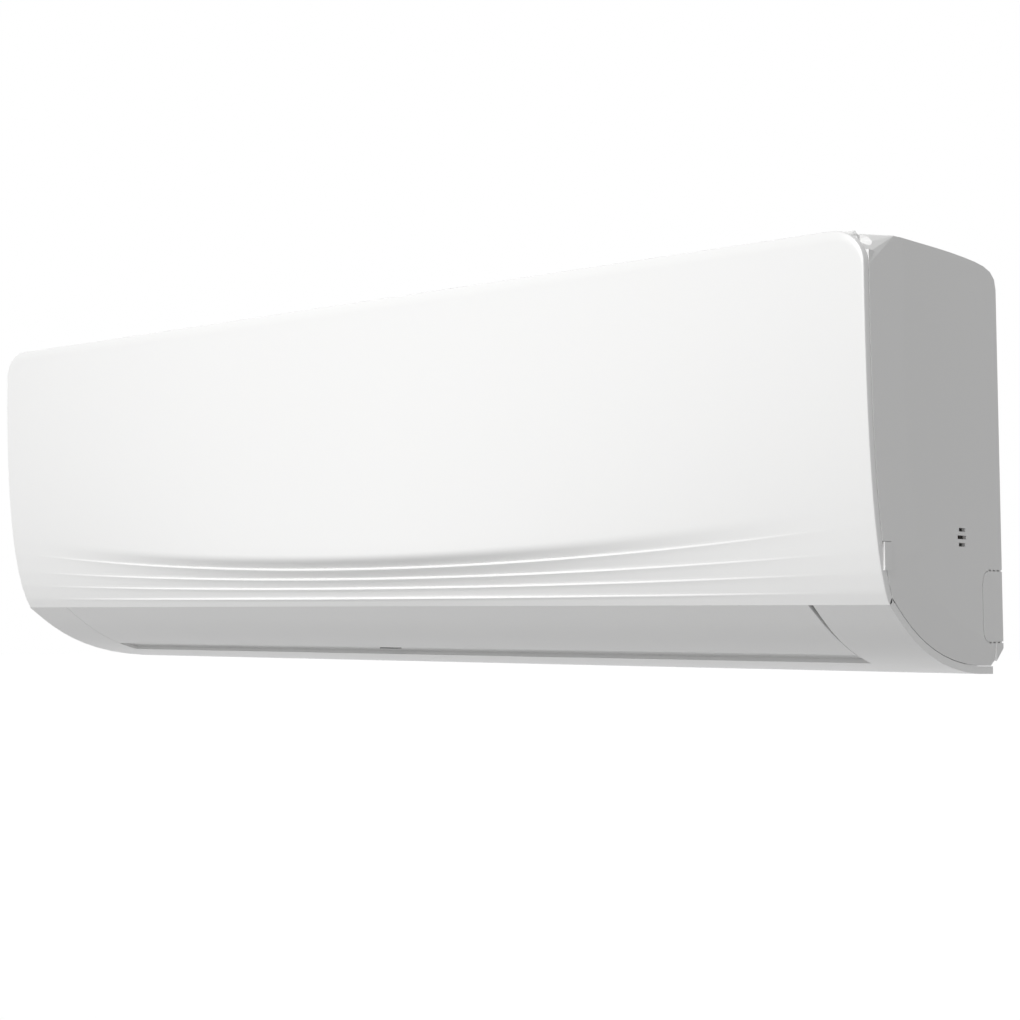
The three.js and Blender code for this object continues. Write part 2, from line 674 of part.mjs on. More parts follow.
// The wall beside the outlet at one end, with the hole that the louver turns in.
function cheek(side) {
  const [x0, x1] = span(side, louverHalf + 0.4, louverHalf + 0.4 + cheekWall);
  const skin = between(outletCurve, 0, seam[0] + 4, -lipDepth + 6);
  return cut(alongX(band(skin, 0.2, cheekDeep), x0, x1),
    barX(louverPivot, pinRadius + gap, x0 - 1, x1 + 1, 12));
}

// Height of the outlet's skin at a depth.
function skinAt(y) {
  const i = outletCurve.findIndex((point) => point[0] >= y);
  const [a, b] = [outletCurve[i - 1], outletCurve[i]];
  return a[1] + ((b[1] - a[1]) * (y - a[0])) / (b[0] - a[0]);
}

// The middle bearing sits in a notch of the strip behind the louver.
function clipSeat(clearance) {
  const [y0, y1] = [-louverRearDepth + 5, -louverRearDepth + 13];
  return block(clipX - clipWide / 2 - clearance, clipX + clipWide / 2 + clearance,
    y0 - clearance, y1 + clearance, skinAt(y0) + 0.8 - clearance, louverPivot[1] + 1 + clearance);
}

function louver() {
  const length = louverHalf - 0.3;
  const blade = alongX(band(louverArc, 0.05, louverThick), -length, length);
  const [y, z] = louverPivot;
  const foot = between(inward(louverArc, louverThick - 0.6), 0, y - 9, y + 7);
  const ear = [...foot, ...arc(louverPivot, 4, 20, 160, 5)];
  const ears = [[-length, -length + 2.4], [length - 2.4, length],
    [clipX - clipWide / 2 - 3, clipX - clipWide / 2 - 0.6],
    [clipX + clipWide / 2 + 0.6, clipX + clipWide / 2 + 3]].map(([a, b]) => alongX(ear, a, b));
  const pins = [barX(louverPivot, pinRadius, -louverHalf - 2.4, -length + 1, 12),
    barX(louverPivot, pinRadius, length - 1, louverHalf + 6, 12),
    barX(louverPivot, pinRadius, clipX - clipWide / 2 - 1, clipX + clipWide / 2 + 1, 12)];
  const wedge = alongZ([[length - louverEndGap, seam[0] - 2], [length + 3, seam[0] - 2],
    [length + 3, y - 10], [length, y - 10]], bottom - 10, seam[1] + 10);
  return join(cut(blade, wedge), ...ears, ...pins);
}

// The middle bearing: a foot in the strip behind the louver and a neck that passes over the louver's rear
// edge, outside the circle in which that edge turns, to a hook on the middle pin.
function louverClip() {
  const swing = edgeRadius + gap;
  const neck = [...arc(louverPivot, swing, -25, 86, 8), ...arc(louverPivot, swing + 2.4, 86, -25, 8)];
  const stem = [polar(louverPivot, pinRadius + 1, 96), polar(louverPivot, pinRadius + 1, 66),
    polar(louverPivot, swing + 1, 82), polar(louverPivot, swing + 1, 92)];
  const hook = [...arc(louverPivot, pinRadius + 2, -20, 200, 8),
    ...arc(louverPivot, pinRadius + gap, 200, -20, 8)];
  const [a, b] = [clipX - clipWide / 2, clipX + clipWide / 2];
  const bore = barX(louverPivot, pinRadius + gap, a - 1, b + 1, 12);
  const foot = cut(clipSeat(0), barX(louverPivot, edgeRadius, a - 1, b + 1, 24));
  return cut(join(foot, ...[neck, stem, hook].map((shape) => alongX(shape, a, b))), bore);
}

// ---------------------------------------------------------------- duct, fan chamber and chassis

const chassisWall = 2.4;
const panInset = panelRim + 3.5; // drain pan's front behind the panel's skin
const ceilingEnd = inward(panelCurve, panInset).at(-1);
const tongue = polar(fanAxis, fanRadius + tongueGap, 220);
const ceilingLong = Math.hypot(ceilingEnd[0] - tongue[0], ceilingEnd[1] - tongue[1]);
const flow = [(ceilingEnd[0] - tongue[0]) / ceilingLong, (ceilingEnd[1] - tongue[1]) / ceilingLong];
const away = [-flow[1], flow[0]]; // from the duct's ceiling to its floor
const awayAxis = new THREE.Vector3(0, ...away);
const ventStrip = between(outletCurve, 0, -louverRearDepth + 4, -lipDepth);
const floorEnd = inward(ventStrip, recessDeep + fasciaWall + gap + chassisWall)[0];

// A place in the duct: along the air's way from the vanes' pivots, and down from the ceiling.
const vaneSet = 23; // vane pivots upstream of the ceiling's front edge
const vaneRoot = [ceilingEnd[0] - flow[0] * vaneSet, ceilingEnd[1] - flow[1] * vaneSet];
const inDuct = (along, down) => [
  vaneRoot[0] + along * flow[0] + down * away[0],
  vaneRoot[1] + along * flow[1] + down * away[1]];

// The curved wall behind the fan, from its upper edge to the outlet.
function voluteLine() {
  const leave = THREE.MathUtils.radToDeg(Math.atan2(flow[1], flow[0])) + 90;
  const floorGap = (floorEnd[0] - fanAxis[0]) * away[0] + (floorEnd[1] - fanAxis[1]) * away[1];
  const steps = 8;
  const turn = Array.from({ length: steps + 1 }, (_, i) => polar(
    fanAxis, voluteFirst + ((floorGap - voluteFirst) * i) / steps,
    voluteStart + ((leave - voluteStart) * i) / steps));
  return [...turn, floorEnd];
}

const coils = {
  front_lower: { foot: [-lowerCoilDepth, bottom + lowerCoilFoot], lean: 90, long: lowerCoilLong },
  front_upper: { foot: [-upperCoilDepth, bottom + upperCoilFoot], lean: upperCoilLean, long: upperCoilLong },
  rear: { foot: [-rearCoilDepth, bottom + rearCoilFoot], lean: rearCoilLean, long: rearCoilLong },
};

// Section of a slab of the heat exchanger, grown by a margin all round.
function slabOutline({ foot, lean, long }, margin = 0) {
  const up = polar([0, 0], 1, lean);
  const side = [-up[1], up[0]];
  const corner = (along, across) => [
    foot[0] + up[0] * along + side[0] * across, foot[1] + up[1] * along + side[1] * across];
  const half = coilThick / 2 + margin;
  return [corner(-margin, half), corner(-margin, -half), corner(long + margin, -half),
    corner(long + margin, half)];
}

const seatRadius = 12;
const bearingRadius = 7.5;
const clampXs = [210];
const hookXs = [-170, 170];
const hookWide = 36;
const hookHeight = 78; // above the middle of the plate

function rearChassis() {
  const half = chamberHalf + chassisWall;
  const line = voluteLine();
  const volute = alongX(band(line, 0, chassisWall), -half, half);
  const backRear = -backWallDepth;
  const backFront = backRear - chassisWall;
  const back = block(-innerHalf + 2.6, innerHalf - 2.6, backFront, backRear, seam[1] + 2, top - 14);
  const lowFoot = Math.min(...slabOutline(coils.rear, plateMargin).map((p) => p[1])) - gap;
  const channelFront = line[0][0];
  const channel = join(
    alongX([line[0], [backFront + 0.1, lowFoot - 4], [backFront + 0.1, lowFoot],
      [channelFront - 1, lowFoot], [channelFront - 3, line[0][1]]], -half, half));
  const room = [...line, inDuct(-6, 40), inDuct(10, 0), [-150, fanAxis[1] + 30], [line[0][0], fanAxis[1] + 30]];
  const ribShape = [[backFront + 0.1, line[0][1] + 2], [backFront + 0.1, seam[1] + 3],
    [fanAxis[0] + 25, seam[1] + 3], [fanAxis[0] + 40, line[0][1] + 2]];
  const ribs = [-260, -90, 90, 260].map((x) => alongX(ribShape, x - 1.2, x + 1.2));
  const endShape = [[backFront + 0.1, lowFoot + 4], [backFront + 0.1, seam[1] + 3], line.at(-2),
    line.at(-1), inDuct(-6, 52), inDuct(2, 30), inDuct(16, 3), inDuct(16, -4), [1 - boxRear, boxBase - 4],
    [1 - boxRear, lowFoot + 4]];
  const ends = [-1, 1].map((side) => cut(alongX(endShape, ...span(side, chamberHalf, half)),
    barX(louverPivot, edgeRadius, -half - 1, half + 1, 24)));
  const cradle = [[backFront + 0.1, fanAxis[1]], [backFront + 0.1, fanAxis[1] - 52],
    [fanAxis[0] - 30, fanAxis[1] - 52], [fanAxis[0] - 44, fanAxis[1]]];
  const cradles = [0, 1].map((i) => alongX(cradle, half + 16 + i * 15, half + 18.4 + i * 15));
  const cradleFloor = block(half - 0.1, half + 18, fanAxis[0] - 30, fanAxis[0] + 30,
    fanAxis[1] - 52, fanAxis[1] - 49);
  const lugs = clampXs.map((x) => block(
    x - 12, x + 12, backFront, backRear, bottom + 17.5, seam[1] + 4));
  const sweep = alongX(room, -chamberHalf, chamberHalf);
  const body = join(
    cut(join(back, ...ribs), sweep), volute, channel, ...ends, ...cradles, cradleFloor, ...lugs);
  const slots = hookXs.map((x) => block(x - hookWide / 2 - 1, x + hookWide / 2 + 1,
    backFront - 2, backRear + 1, hookHeight - 6, hookHeight + wallPlateThick + gap));
  return cut(body, ...slots,
    barX(fanAxis, motorRadius + gap, half + 1, half + 60, 24),
    barX(fanAxis, shaftRadius + 9, chamberHalf - 1, half + 1, 16),
    barX(fanAxis, seatRadius + gap, -half - 1, 1 - chamberHalf, 16), clipSeat(gap));
}

function wallPlate() {
  const [halfW, halfH] = [wallPlateWidth / 2, wallPlateHeight / 2];
  const corners = [[-halfW, -halfH], [halfW, -halfH], [halfW, halfH], [-halfW, halfH]];
  const sheet = alongY(corners, -wallPlateThick, 0);
  const beads = [-0.55, 0.55].map((t) =>
    block(-halfW + 30, halfW - 30, -3.2, -wallPlateThick + 0.1, halfH * t - 5, halfH * t + 5));
  const holes = [];
  for (const t of [-1, -0.5, 0.5, 1]) {
    const x = t * (halfW - 25);
    for (const z of [-halfH + 14, 10, halfH - 12]) {
      holes.push(roundBar([x, -6, z], Y, 2.6, 12, 8));
    }
  }
  const hooks = hookXs.map((x) => join(
    block(x - hookWide / 2, x + hookWide / 2, -backWallDepth - chassisWall - 4, -wallPlateThick + 0.1,
      hookHeight, hookHeight + wallPlateThick),
    block(x - hookWide / 2, x + hookWide / 2, -backWallDepth - chassisWall - 4,
      -backWallDepth - chassisWall - 4 + wallPlateThick, hookHeight, hookHeight + 8)));
  const clips = hookXs.map((x) => block(x - 20, x + 20, -backWallDepth + gap, -wallPlateThick + 0.1,
    -halfH + 22, -halfH + 22 + wallPlateThick));
  return join(cut(join(sheet, ...beads), ...holes), ...hooks, ...clips);
}

const panHalf = chamberHalf - 0.4;
const troughRight = coilRight + 11.5;
const spout = [-lowerCoilDepth + 3, bottom + lowerCoilFoot + 5.2];

function drainPan() {
  const foot = coils.front_lower.foot;
  const rim = foot[1] + 8;
  const front = between(inward(panelCurve, panInset), 1, rim, ceilingEnd[1]);
  const rear = [tongue[0] - 11.5, rim];
  const outline = [...front, tongue, rear];
  const [troughFront, troughRear] = [foot[0] - coilThick / 2 - 3, foot[0] + coilThick / 2 + 5];
  const trough = alongX(rectangle(troughFront, troughRear, foot[1] - plateMargin - gap, rim + 1),
    -panHalf + 2.4, troughRight);
  const wallAt = between(inward(panelCurve, panInset + 2.4), 1, rim + 1, inDuct(20, -3)[1]);
  const pocket = alongX([...wallAt, inDuct(17, -3), inDuct(-26, -3), [rear[0] + 12, rim + 1]],
    troughRight + 2.4, panHalf + 1);
  const places = [...vaneXs.left, ...vaneXs.right];
  const away3 = (x, along, down) => [x, ...inDuct(along, down)];
  const holes = places.map((x) => roundBar(away3(x, 0, -4.5), awayAxis, 1.9, 6, 8));
  const crankHole = roundBar(away3(crankX, 0, -4.5), awayAxis, 2.4, 6, 10);
  const mouth = roundBar([troughRight - 1, ...spout], X, 3.4, 12, 12);
  const pipe = roundBar([troughRight + 1, ...spout], X, 5, 8, 12);
  return cut(join(cut(alongX(outline, -panHalf, panHalf), trough, pocket), pipe), mouth, crankHole, ...holes);
}

function coilSlab(coil) {
  return alongX(slabOutline(coil), coilLeft + plateThick + gap, coilRight - plateThick - gap);
}

// Tube centres of one slab: two staggered rows.
function tubePlaces({ foot, lean, long }) {
  const up = polar([0, 0], 1, lean);
  const side = [-up[1], up[0]];
  const places = [];
  const count = Math.floor((long - 8) / tubePitch);
  for (let i = 0; i <= count; i += 1) {
    for (const row of [-1, 1]) {
      const along = 8 + i * tubePitch + (row > 0 ? tubePitch / 2 - 4 : 0);
      if (along > long - 4) continue;
      places.push([foot[0] + up[0] * along + (side[0] * row * coilThick) / 4,
        foot[1] + up[1] * along + (side[1] * row * coilThick) / 4]);
    }
  }
  return places;
}

// An end plate over the three slabs, with the bends that join their tubes in pairs.
function endPlate(x, side) {
  const [near, far] = side > 0 ? [x - plateThick, x] : [x, x + plateThick];
  const plates = Object.values(coils).map((coil) => alongX(slabOutline(coil, plateMargin), near, far));
  const { front_lower: lower, front_upper: upper, rear } = coils;
  const [a, b, c] = [slabOutline(lower), slabOutline(upper), slabOutline(rear)];
  const links = [
    alongX([a[2], a[3], b[0], b[1]], near, far),
    alongX([b[2], b[3], c[2], c[3]], near, far),
  ];
  const bends = [];
  for (const coil of Object.values(coils)) {
    const places = tubePlaces(coil);
    const first = side > 0 && coil === rear ? 2 : 0;
    for (let i = first; i + 1 < places.length; i += 2) {
      bends.push(returnBend(places[i], places[i + 1], side > 0 ? far : near, side));
    }
  }
  return join(...plates, ...links, ...bends);
}

function returnBend(from, to, x, side) {
  const middle = mix(from, to, 0.5);
  const reach = Math.hypot(to[0] - from[0], to[1] - from[1]) / 2;
  const at = (dx, [y, z]) => new THREE.Vector3(x + side * dx, y, z);
  const points = [at(-0.5, from), at(1, from)];
  for (let i = 1; i < 5; i += 1) {
    const t = (Math.PI * i) / 5;
    points.push(at(1 + reach * Math.sin(t), mix(middle, from, Math.cos(t))));
  }
  points.push(at(1, to), at(-0.5, to));
  return tubeAlong(points, tubeRadius, 6, 5);
}

// A bar of round section along a line of points.
function tubeAlong(points, radius, sides, steps) {
  const ring = new THREE.Shape(Array.from({ length: sides }, (_, i) => new THREE.Vector2(
    radius * Math.cos((2 * Math.PI * i) / sides), radius * Math.sin((2 * Math.PI * i) / sides))));
  const path = new THREE.CatmullRomCurve3(points, false, "centripetal");
  return solid(new THREE.ExtrudeGeometry(ring, { steps, extrudePath: path, bevelEnabled: false }));
}

// ---------------------------------------------------------------- fan and its drive

const fanHalf = chamberHalf - fanHalfGap;

function crossFlowFan() {
  const discs = [];
  for (let i = 0; i < discCount; i += 1) {
    const x = -fanHalf + (i * (2 * fanHalf - discThick)) / (discCount - 1);
    const whole = i === 0 || i === discCount - 1;
    const disc = barX(fanAxis, fanRadius, x, x + discThick, bladeCount);
    discs.push(whole ? disc : cut(disc, barX(fanAxis, fanRadius - bladeChord - 1, x - 1, x + discThick + 1, 12)));
  }
  const blades = Array.from({ length: bladeCount }, (_, i) => {
    const turn = (360 * i) / bladeCount;
    const line = [0, 1].map((t) => polar(fanAxis, fanRadius - 0.4 - bladeChord * t, turn + 11 * t));
    return alongX(band(line, -bladeThick / 2, bladeThick / 2), 0.5 - fanHalf, fanHalf - 0.5);
  });
  const hub = barX(fanAxis, 12, fanHalf - 20, fanHalf - 0.1, 16);
  const stub = barX(fanAxis, shaftRadius, -chamberHalf - 4, 1 - fanHalf, 12);
  const bore = barX(fanAxis, shaftRadius + gap, fanHalf - 16, fanHalf + 1, 12);
  return cut(join(...discs, ...blades, hub, stub), bore);
}

const motorLeft = chamberHalf + chassisWall + 2;

function fanMotor() {
  const [r, l] = [motorRadius, motorLong];
  const body = turned([[0, 0], [12, 0], [12, 2], [r - 6, 2], [r, 8], [r, l - 8], [r - 6, l - 2], [14, l - 2],
    [14, l], [0, l]], [motorLeft, ...fanAxis], X, 24);
  return cut(body, barX(fanAxis, shaftRadius + gap, motorLeft - 1, motorLeft + 12, 12));
}

function motorClamp() {
  const half = chamberHalf + chassisWall;
  const [inner, outer] = [motorRadius + gap, motorRadius + 2.6];
  const [x0, x1] = [half + 10, half + 14.5];
  const strap = alongX([...arc(fanAxis, outer, 178, 2, 14), ...arc(fanAxis, inner, 2, 178, 14)], x0, x1);
  const feet = [-1, 1].map((side) => {
    const y = fanAxis[0] + side * (inner + 1.1);
    return alongX(rectangle(Math.min(y - 1, y + side * 5), Math.max(y + 1, y + side * 5),
      fanAxis[1], fanAxis[1] + 2.4), half + gap, x1);
  });
  return join(strap, ...feet);
}

// ---------------------------------------------------------------- vanes

const vaneXs = Object.fromEntries(Object.entries(vaneGroups).map(([name, { middle, count }]) => [
  name, Array.from({ length: count }, (_, i) => middle + (i - (count - 1) / 2) * vanePitch)]));

function vane(x) {
  const edge = (down) => -16 - ((down - 1) * 10) / (vaneDrop - 1);
  const [upper, lower] = [linkLevel - 3, linkLevel + 3.5];
  const outline = [inDuct(14, 1), inDuct(edge(1), 1), inDuct(edge(upper), upper), inDuct(5 - linkArm, upper),
    inDuct(5 - linkArm, lower), inDuct(edge(lower), lower), inDuct(edge(vaneDrop), vaneDrop),
    inDuct(-12, vaneDrop), inDuct(6, 18)];
  const pivot = roundBar([x, ...inDuct(0, -3)], awayAxis, 1.6, 6, 8);
  const pin = roundBar([x, ...inDuct(-linkArm, upper - 0.6)], awayAxis, 1.2, lower - upper + 1.2, 8);
  return join(alongX(outline, x - vaneThick / 2, x + vaneThick / 2), pivot, pin);
}

function linkBar(places) {
  const [a, b] = [-linkArm - linkWide / 2, -linkArm + linkWide / 2];
  const [near, far] = [linkLevel - linkThick / 2, linkLevel + linkThick / 2];
  const bar = alongX([inDuct(a, near), inDuct(b, near), inDuct(b, far), inDuct(a, far)],
    places[0] - 4, places.at(-1) + 4);
  return cut(bar, ...places.map((x) =>
    roundBar([x, ...inDuct(-linkArm, linkLevel - 2)], awayAxis, 1.2 + gap, 4, 8)));
}

function vaneCrank() {
  const at = (along, down) => [crankX, ...inDuct(along, down)];
  const shaft = roundBar(at(0, -8), awayAxis, 2, 8 + linkLevel - 4, 10);
  const arm = alongX([inDuct(2.4, linkLevel - 6), inDuct(-linkArm - 2, linkLevel - 6),
    inDuct(-linkArm - 2, linkLevel - 4), inDuct(2.4, linkLevel - 4)], crankX - 2.4, crankX + 2.4);
  return join(shaft, arm, roundBar(at(-linkArm, linkLevel - 4.5), awayAxis, 1.2, 6.5, 8));
}

function vaneMotor() {
  const body = roundBar([crankX, ...inDuct(0, -15)], awayAxis, 11.5, 15 - 3 - gap, 20);
  return cut(body, roundBar([crankX, ...inDuct(0, -9)], awayAxis, 2 + gap, 10, 10));
}

function louverMotor() {
  const normal = Math.PI / 2 + rearEdgeSlope;
  const centre = [louverPivot[0] + 8 * Math.cos(normal), louverPivot[1] + 8 * Math.sin(normal)];
  const x = louverHalf + 0.4 + cheekWall + gap;
  return cut(barX(centre, 12.5, x, x + 17, 20), barX(louverPivot, pinRadius + gap, x - 1, x + 5, 12));
}

// ---------------------------------------------------------------- filters

function airFilter(left, right) {
  const outer = filterRadius;
  const inner = filterRadius - filterThick;
  const sheet = (r0, r1, from, to, steps) =>
    [...arc(filterAxis, r0, from, to, steps), ...arc(filterAxis, r1, to, from, steps)];
  const body = alongX(sheet(inner, outer, filterHead, filterFoot, filterSteps), left, right);
  const angleBar = THREE.MathUtils.radToDeg(filterBar / filterRadius);
  const [rows, columns] = [4, 3];
  const high = (filterFoot - filterHead - angleBar) / rows;
  const wide = (right - left - filterBar) / columns;
  const windows = [];
  for (let row = 0; row < rows; row += 1) {
    for (let column = 0; column < columns; column += 1) {
      const from = filterHead + angleBar + row * high;
      const x = left + filterBar + column * wide;
      windows.push(alongX(sheet(inner + 0.6, outer + 2, from, from + high - angleBar, 3),
        x, x + wide - filterBar));
    }
  }
  return cut(body, ...windows);
}

// ---------------------------------------------------------------- controls

const boxRight = boxLeft + boxWidth;
const boxFront = -boxRear - boxDeep;
const boxBase = bottom + boxFoot;
const boxTop = boxBase + boxHigh;
const coverThick = 2.2;

function controlBox() {
  const outer = block(boxLeft, boxRight, boxFront, -boxRear, boxBase, boxTop);
  return cut(outer, block(boxLeft + boxWall, boxRight - boxWall, boxFront - 1, -boxRear - boxWall,
    boxBase + boxWall, boxTop - boxWall));
}

function boxCover() {
  const front = boxFront - gap;
  const lid = block(boxLeft, boxRight, front - coverThick, front, boxBase, boxTop);
  const lip = cut(
    block(boxLeft + boxWall + gap, boxRight - boxWall - gap, front - 0.1, front + 4,
      boxBase + boxWall + gap, boxTop - boxWall - gap),
    block(boxLeft + boxWall + 2, boxRight - boxWall - 2, front - 1, front + 5,
      boxBase + boxWall + 2, boxTop - boxWall - 2));
  return join(lid, lip);
}

const boardRear = -boxRear - boxWall - 6;

function mainBoard() {
  const margin = boxWall + 1;
  const board = block(boxLeft + margin, boxRight - margin, boardRear - 1.6, boardRear,
    boxBase + 26, boxTop - margin);
  const stands = [[boxLeft + 12, boxBase + 34], [boxRight - 12, boxTop - 14]].map(([x, z]) =>
    block(x - 3, x + 3, boardRear - 0.1, -boxRear - boxWall - gap, z - 3, z + 3));
  const parts = [
    block(boxLeft + 10, boxLeft + 34, boardRear - 20, boardRear - 1.5, boxTop - 42, boxTop - 14),
    block(boxLeft + 44, boxLeft + 60, boardRear - 17, boardRear - 1.5, boxTop - 34, boxTop - 12),
    block(boxLeft + 12, boxLeft + 27, boardRear - 16, boardRear - 1.5, boxBase + 60, boxBase + 78),
    block(boxLeft + 40, boxLeft + 68, boardRear - 5, boardRear - 1.5, boxBase + 44, boxBase + 56),
    roundBar([boxRight - 16, boardRear - 1.5, boxTop - 50], Y.clone().negate(), 8, 20, 12),
    roundBar([boxRight - 16, boardRear - 1.5, boxTop - 70], Y.clone().negate(), 6, 17, 12),
  ];
  return join(board, ...stands, ...parts);
}

function terminalBlock() {
  const [x0, x1] = [boxLeft + 10, boxRight - 10];
  const rear = -boxRear - boxWall - gap;
  const z = boxBase + boxWall + gap;
  const base = block(x0, x1, rear - 16, rear, z, z + 18);
  const bays = [0, 1, 2, 3].map((i) => {
    const x = x0 + 4 + (i * (x1 - x0 - 8)) / 4;
    return block(x, x + (x1 - x0 - 8) / 4 - 3, rear - 17, rear - 8, z + 3, z + 15);
  });
  return cut(base, ...bays);
}

const displayRear = boxFront - gap - coverThick - gap;
const displayThick = 10;
const displayHeight = seam[1] + 88;
const buttonX = boxLeft + 66;
const buttonTravel = 1.5;

function displayModule() {
  const body = block(boxLeft + 12, boxRight - 8, displayRear - displayThick, displayRear,
    displayHeight, displayHeight + 22);
  const well = roundBar([buttonX, displayRear - displayThick - 1, displayHeight + 11], Y, 3 + gap, 8.4, 16);
  const window = block(boxLeft + 16, boxLeft + 48, displayRear - displayThick - 1,
    displayRear - displayThick + 1.2, displayHeight + 4, displayHeight + 18);
  return cut(body, well, window);
}

function autoButton() {
  const front = displayRear - displayThick - 1.2;
  return roundBar([buttonX, front, displayHeight + 11], Y, 3, 6.8 - 1.2, 16);
}

// ---------------------------------------------------------------- sensor, pipes and fasteners

const sensorAt = [seam[0] + 97.7, seam[1] + 42.2];

function thermistorClip() {
  const [y, z] = sensorAt;
  const base = block(innerHalf - gap - 2, innerHalf - gap, y - 12, y + 12, z - 9, z - 7);
  const plate = block(innerHalf - gap - 8, innerHalf - gap, y - 12, y + 12, z - 9.5, z - 7.5);
  const jaws = [-9, 6].map((at) => cut(
    block(innerHalf - gap - 8, innerHalf - gap - 2, y + at, y + at + 3, z - 8, z + 4),
    roundBar([innerHalf - gap - 5, y + at - 1, z], Y, 2.5 + gap, 5, 12),
    block(innerHalf - gap - 6.4, innerHalf - gap - 3.6, y + at - 1, y + at + 4, z, z + 6)));
  return join(base, plate, ...jaws);
}

const thermistor = () =>
  roundBar([innerHalf - gap - 5, sensorAt[0] - 11, sensorAt[1]], Y, 2.5, 22, 12);

const [gasStart, liquidStart] = tubePlaces(coils.rear);
const gasPipe = { radius: 6, depth: 22, height: bottom + 27, end: 60, outside: 9, start: gasStart };
const liquidPipe = { radius: 4, depth: 35, height: bottom + 40, end: 110, outside: 23.5, start: liquidStart };

// A pipe from the heat exchanger's right end, round the fan chamber and along the rear channel.
function pipeRun({ radius, depth, height, end, start, outside }) {
  const x = chamberHalf + chassisWall + outside;
  const bend = 12;
  const points = [
    [coilRight + gap, ...start], [x - bend - 14, ...start], [x - bend, start[0], start[1]],
    [x - 2, mix(start, [-depth, 0], 0.3)[0], start[1] - 3], [x, mix(start, [-depth, 0], 0.8)[0], start[1] - bend],
    [x, -depth, start[1] - 2.5 * bend], [x, -depth, height + bend + 6], [x, -depth, height + bend],
    [x - 3, -depth, height + 3], [x - bend, -depth, height], [x - bend - 6, -depth, height],
    [end, -depth, height],
  ].map((p) => new THREE.Vector3(...p));
  return tubeAlong(points, radius, 8, 20);
}

function flareNut({ radius, depth, height, end }) {
  const across = radius * 1.75;
  const nut = roundBar([end - 18, -depth, height], X, across, 18 - gap, 6);
  return cut(nut, roundBar([end - 14, -depth, height], X, radius * 0.8, 20, 10));
}

function pipeClamp() {
  const low = gasPipe.height - gasPipe.radius - gap - 2;
  const [x0, x1] = [clampXs[0] - 11, clampXs[0] + 11];
  const rear = -backWallDepth - chassisWall - gap;
  const front = -gasPipe.depth - gasPipe.radius - gap;
  return join(
    block(x0, x1, front - 2, rear, low, low + 2),
    block(x0, x1, rear - 2, rear, low, low + 12),
    block(x0, x1, front - 2, front, low, low + 16));
}

function drainPlug() {
  return join(roundBar([troughRight + 9 + gap, ...spout], X, 5, 3, 12),
    roundBar([troughRight + 3, ...spout], X, 3.4 - gap, 8, 12));
}

// ---------------------------------------------------------------- build

piece("front_panel", frontPanel(), white, 0.3);
piece("case_frame", caseFrame(), 0xe9e9e7, 0.4);
piece("bottom_cover", bottomCover(), white, 0.35);
piece("louver", louver(), white, 0.35);
piece("louver_clip", louverClip(), dark, 0.6);
piece("louver_motor", louverMotor(), steel, 0.4, 0.6);
piece("rear_chassis", rearChassis(), pale, 0.6);
piece("wall_plate", wallPlate(), steel, 0.45, 0.8);
piece("drain_pan", drainPan(), pale, 0.55);
piece("drain_plug", drainPlug(), dark, 0.8);
for (const [name, coil] of Object.entries(coils)) {
  piece(`evaporator_${name}`, coilSlab(coil), aluminium, 0.4, 0.8);
}
piece("evaporator_end_left", endPlate(coilLeft, -1), copper, 0.35, 0.9);
piece("evaporator_end_right", endPlate(coilRight, 1), copper, 0.35, 0.9);
piece("fan", crossFlowFan(), dark, 0.55);
piece("motor_shaft", barX(fanAxis, shaftRadius, fanHalf - 15, motorLeft + 11, 12), steel, 0.25, 0.9);
piece("fan_motor", fanMotor(), steel, 0.4, 0.7);
piece("motor_clamp", motorClamp(), pale, 0.6);
piece("bearing_seat", turned(
  [[bearingRadius + gap, 0], [seatRadius, 0], [seatRadius, 4], [bearingRadius + gap, 4]],
  [-chamberHalf - 3.4, ...fanAxis], X, 16), dark, 0.9);
piece("fan_bearing", turned(
  [[shaftRadius + gap, 0], [bearingRadius, 0], [bearingRadius, 3.6], [shaftRadius + gap, 3.6]],
  [-chamberHalf - 3.2, ...fanAxis], X, 16), 0xa9855a, 0.4, 0.8);
for (const [group, places] of Object.entries(vaneXs)) {
  places.forEach((x, i) => piece(`vane_${group}_${i + 1}`, vane(x), white, 0.5));
  piece(`vane_link_${group}`, linkBar(group === "right" ? [...places, crankX] : places), white, 0.5);
}
piece("vane_crank", vaneCrank(), pale, 0.5);
piece("vane_motor", vaneMotor(), steel, 0.4, 0.6);
const filterSide = guideThick / 2 + gap;
piece("filter_left", airFilter(guideXs[0] + filterSide, guideXs[1] - filterSide), 0x3e4f66, 0.8);
piece("filter_right", airFilter(guideXs[1] + filterSide, guideXs[2] - filterSide), 0x3e4f66, 0.8);
piece("control_box", controlBox(), pale, 0.6);
piece("control_box_cover", boxCover(), pale, 0.6);
piece("main_board", mainBoard(), 0x2f6b45, 0.5);
piece("terminal_block", terminalBlock(), dark, 0.6);
piece("display_module", displayModule(), 0xd0d0ce, 0.5);
piece("auto_button", autoButton(), white, 0.4);
piece("thermistor_clip", thermistorClip(), pale, 0.6);
piece("thermistor", thermistor(), copper, 0.4, 0.8);
piece("gas_pipe", pipeRun(gasPipe), 0x2f2f30, 0.9);
piece("liquid_pipe", pipeRun(liquidPipe), copper, 0.35, 0.9);
piece("gas_flare_nut", flareNut(gasPipe), 0xc9a24a, 0.3, 0.9);
piece("liquid_flare_nut", flareNut(liquidPipe), 0xc9a24a, 0.3, 0.9);
piece("pipe_clamp", pipeClamp(), pale, 0.6);

export default unit;
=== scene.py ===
"""Dresses a mini split indoor unit: moulded panel, louver, case, and the pieces that show behind them."""

import json
import math
from types import SimpleNamespace

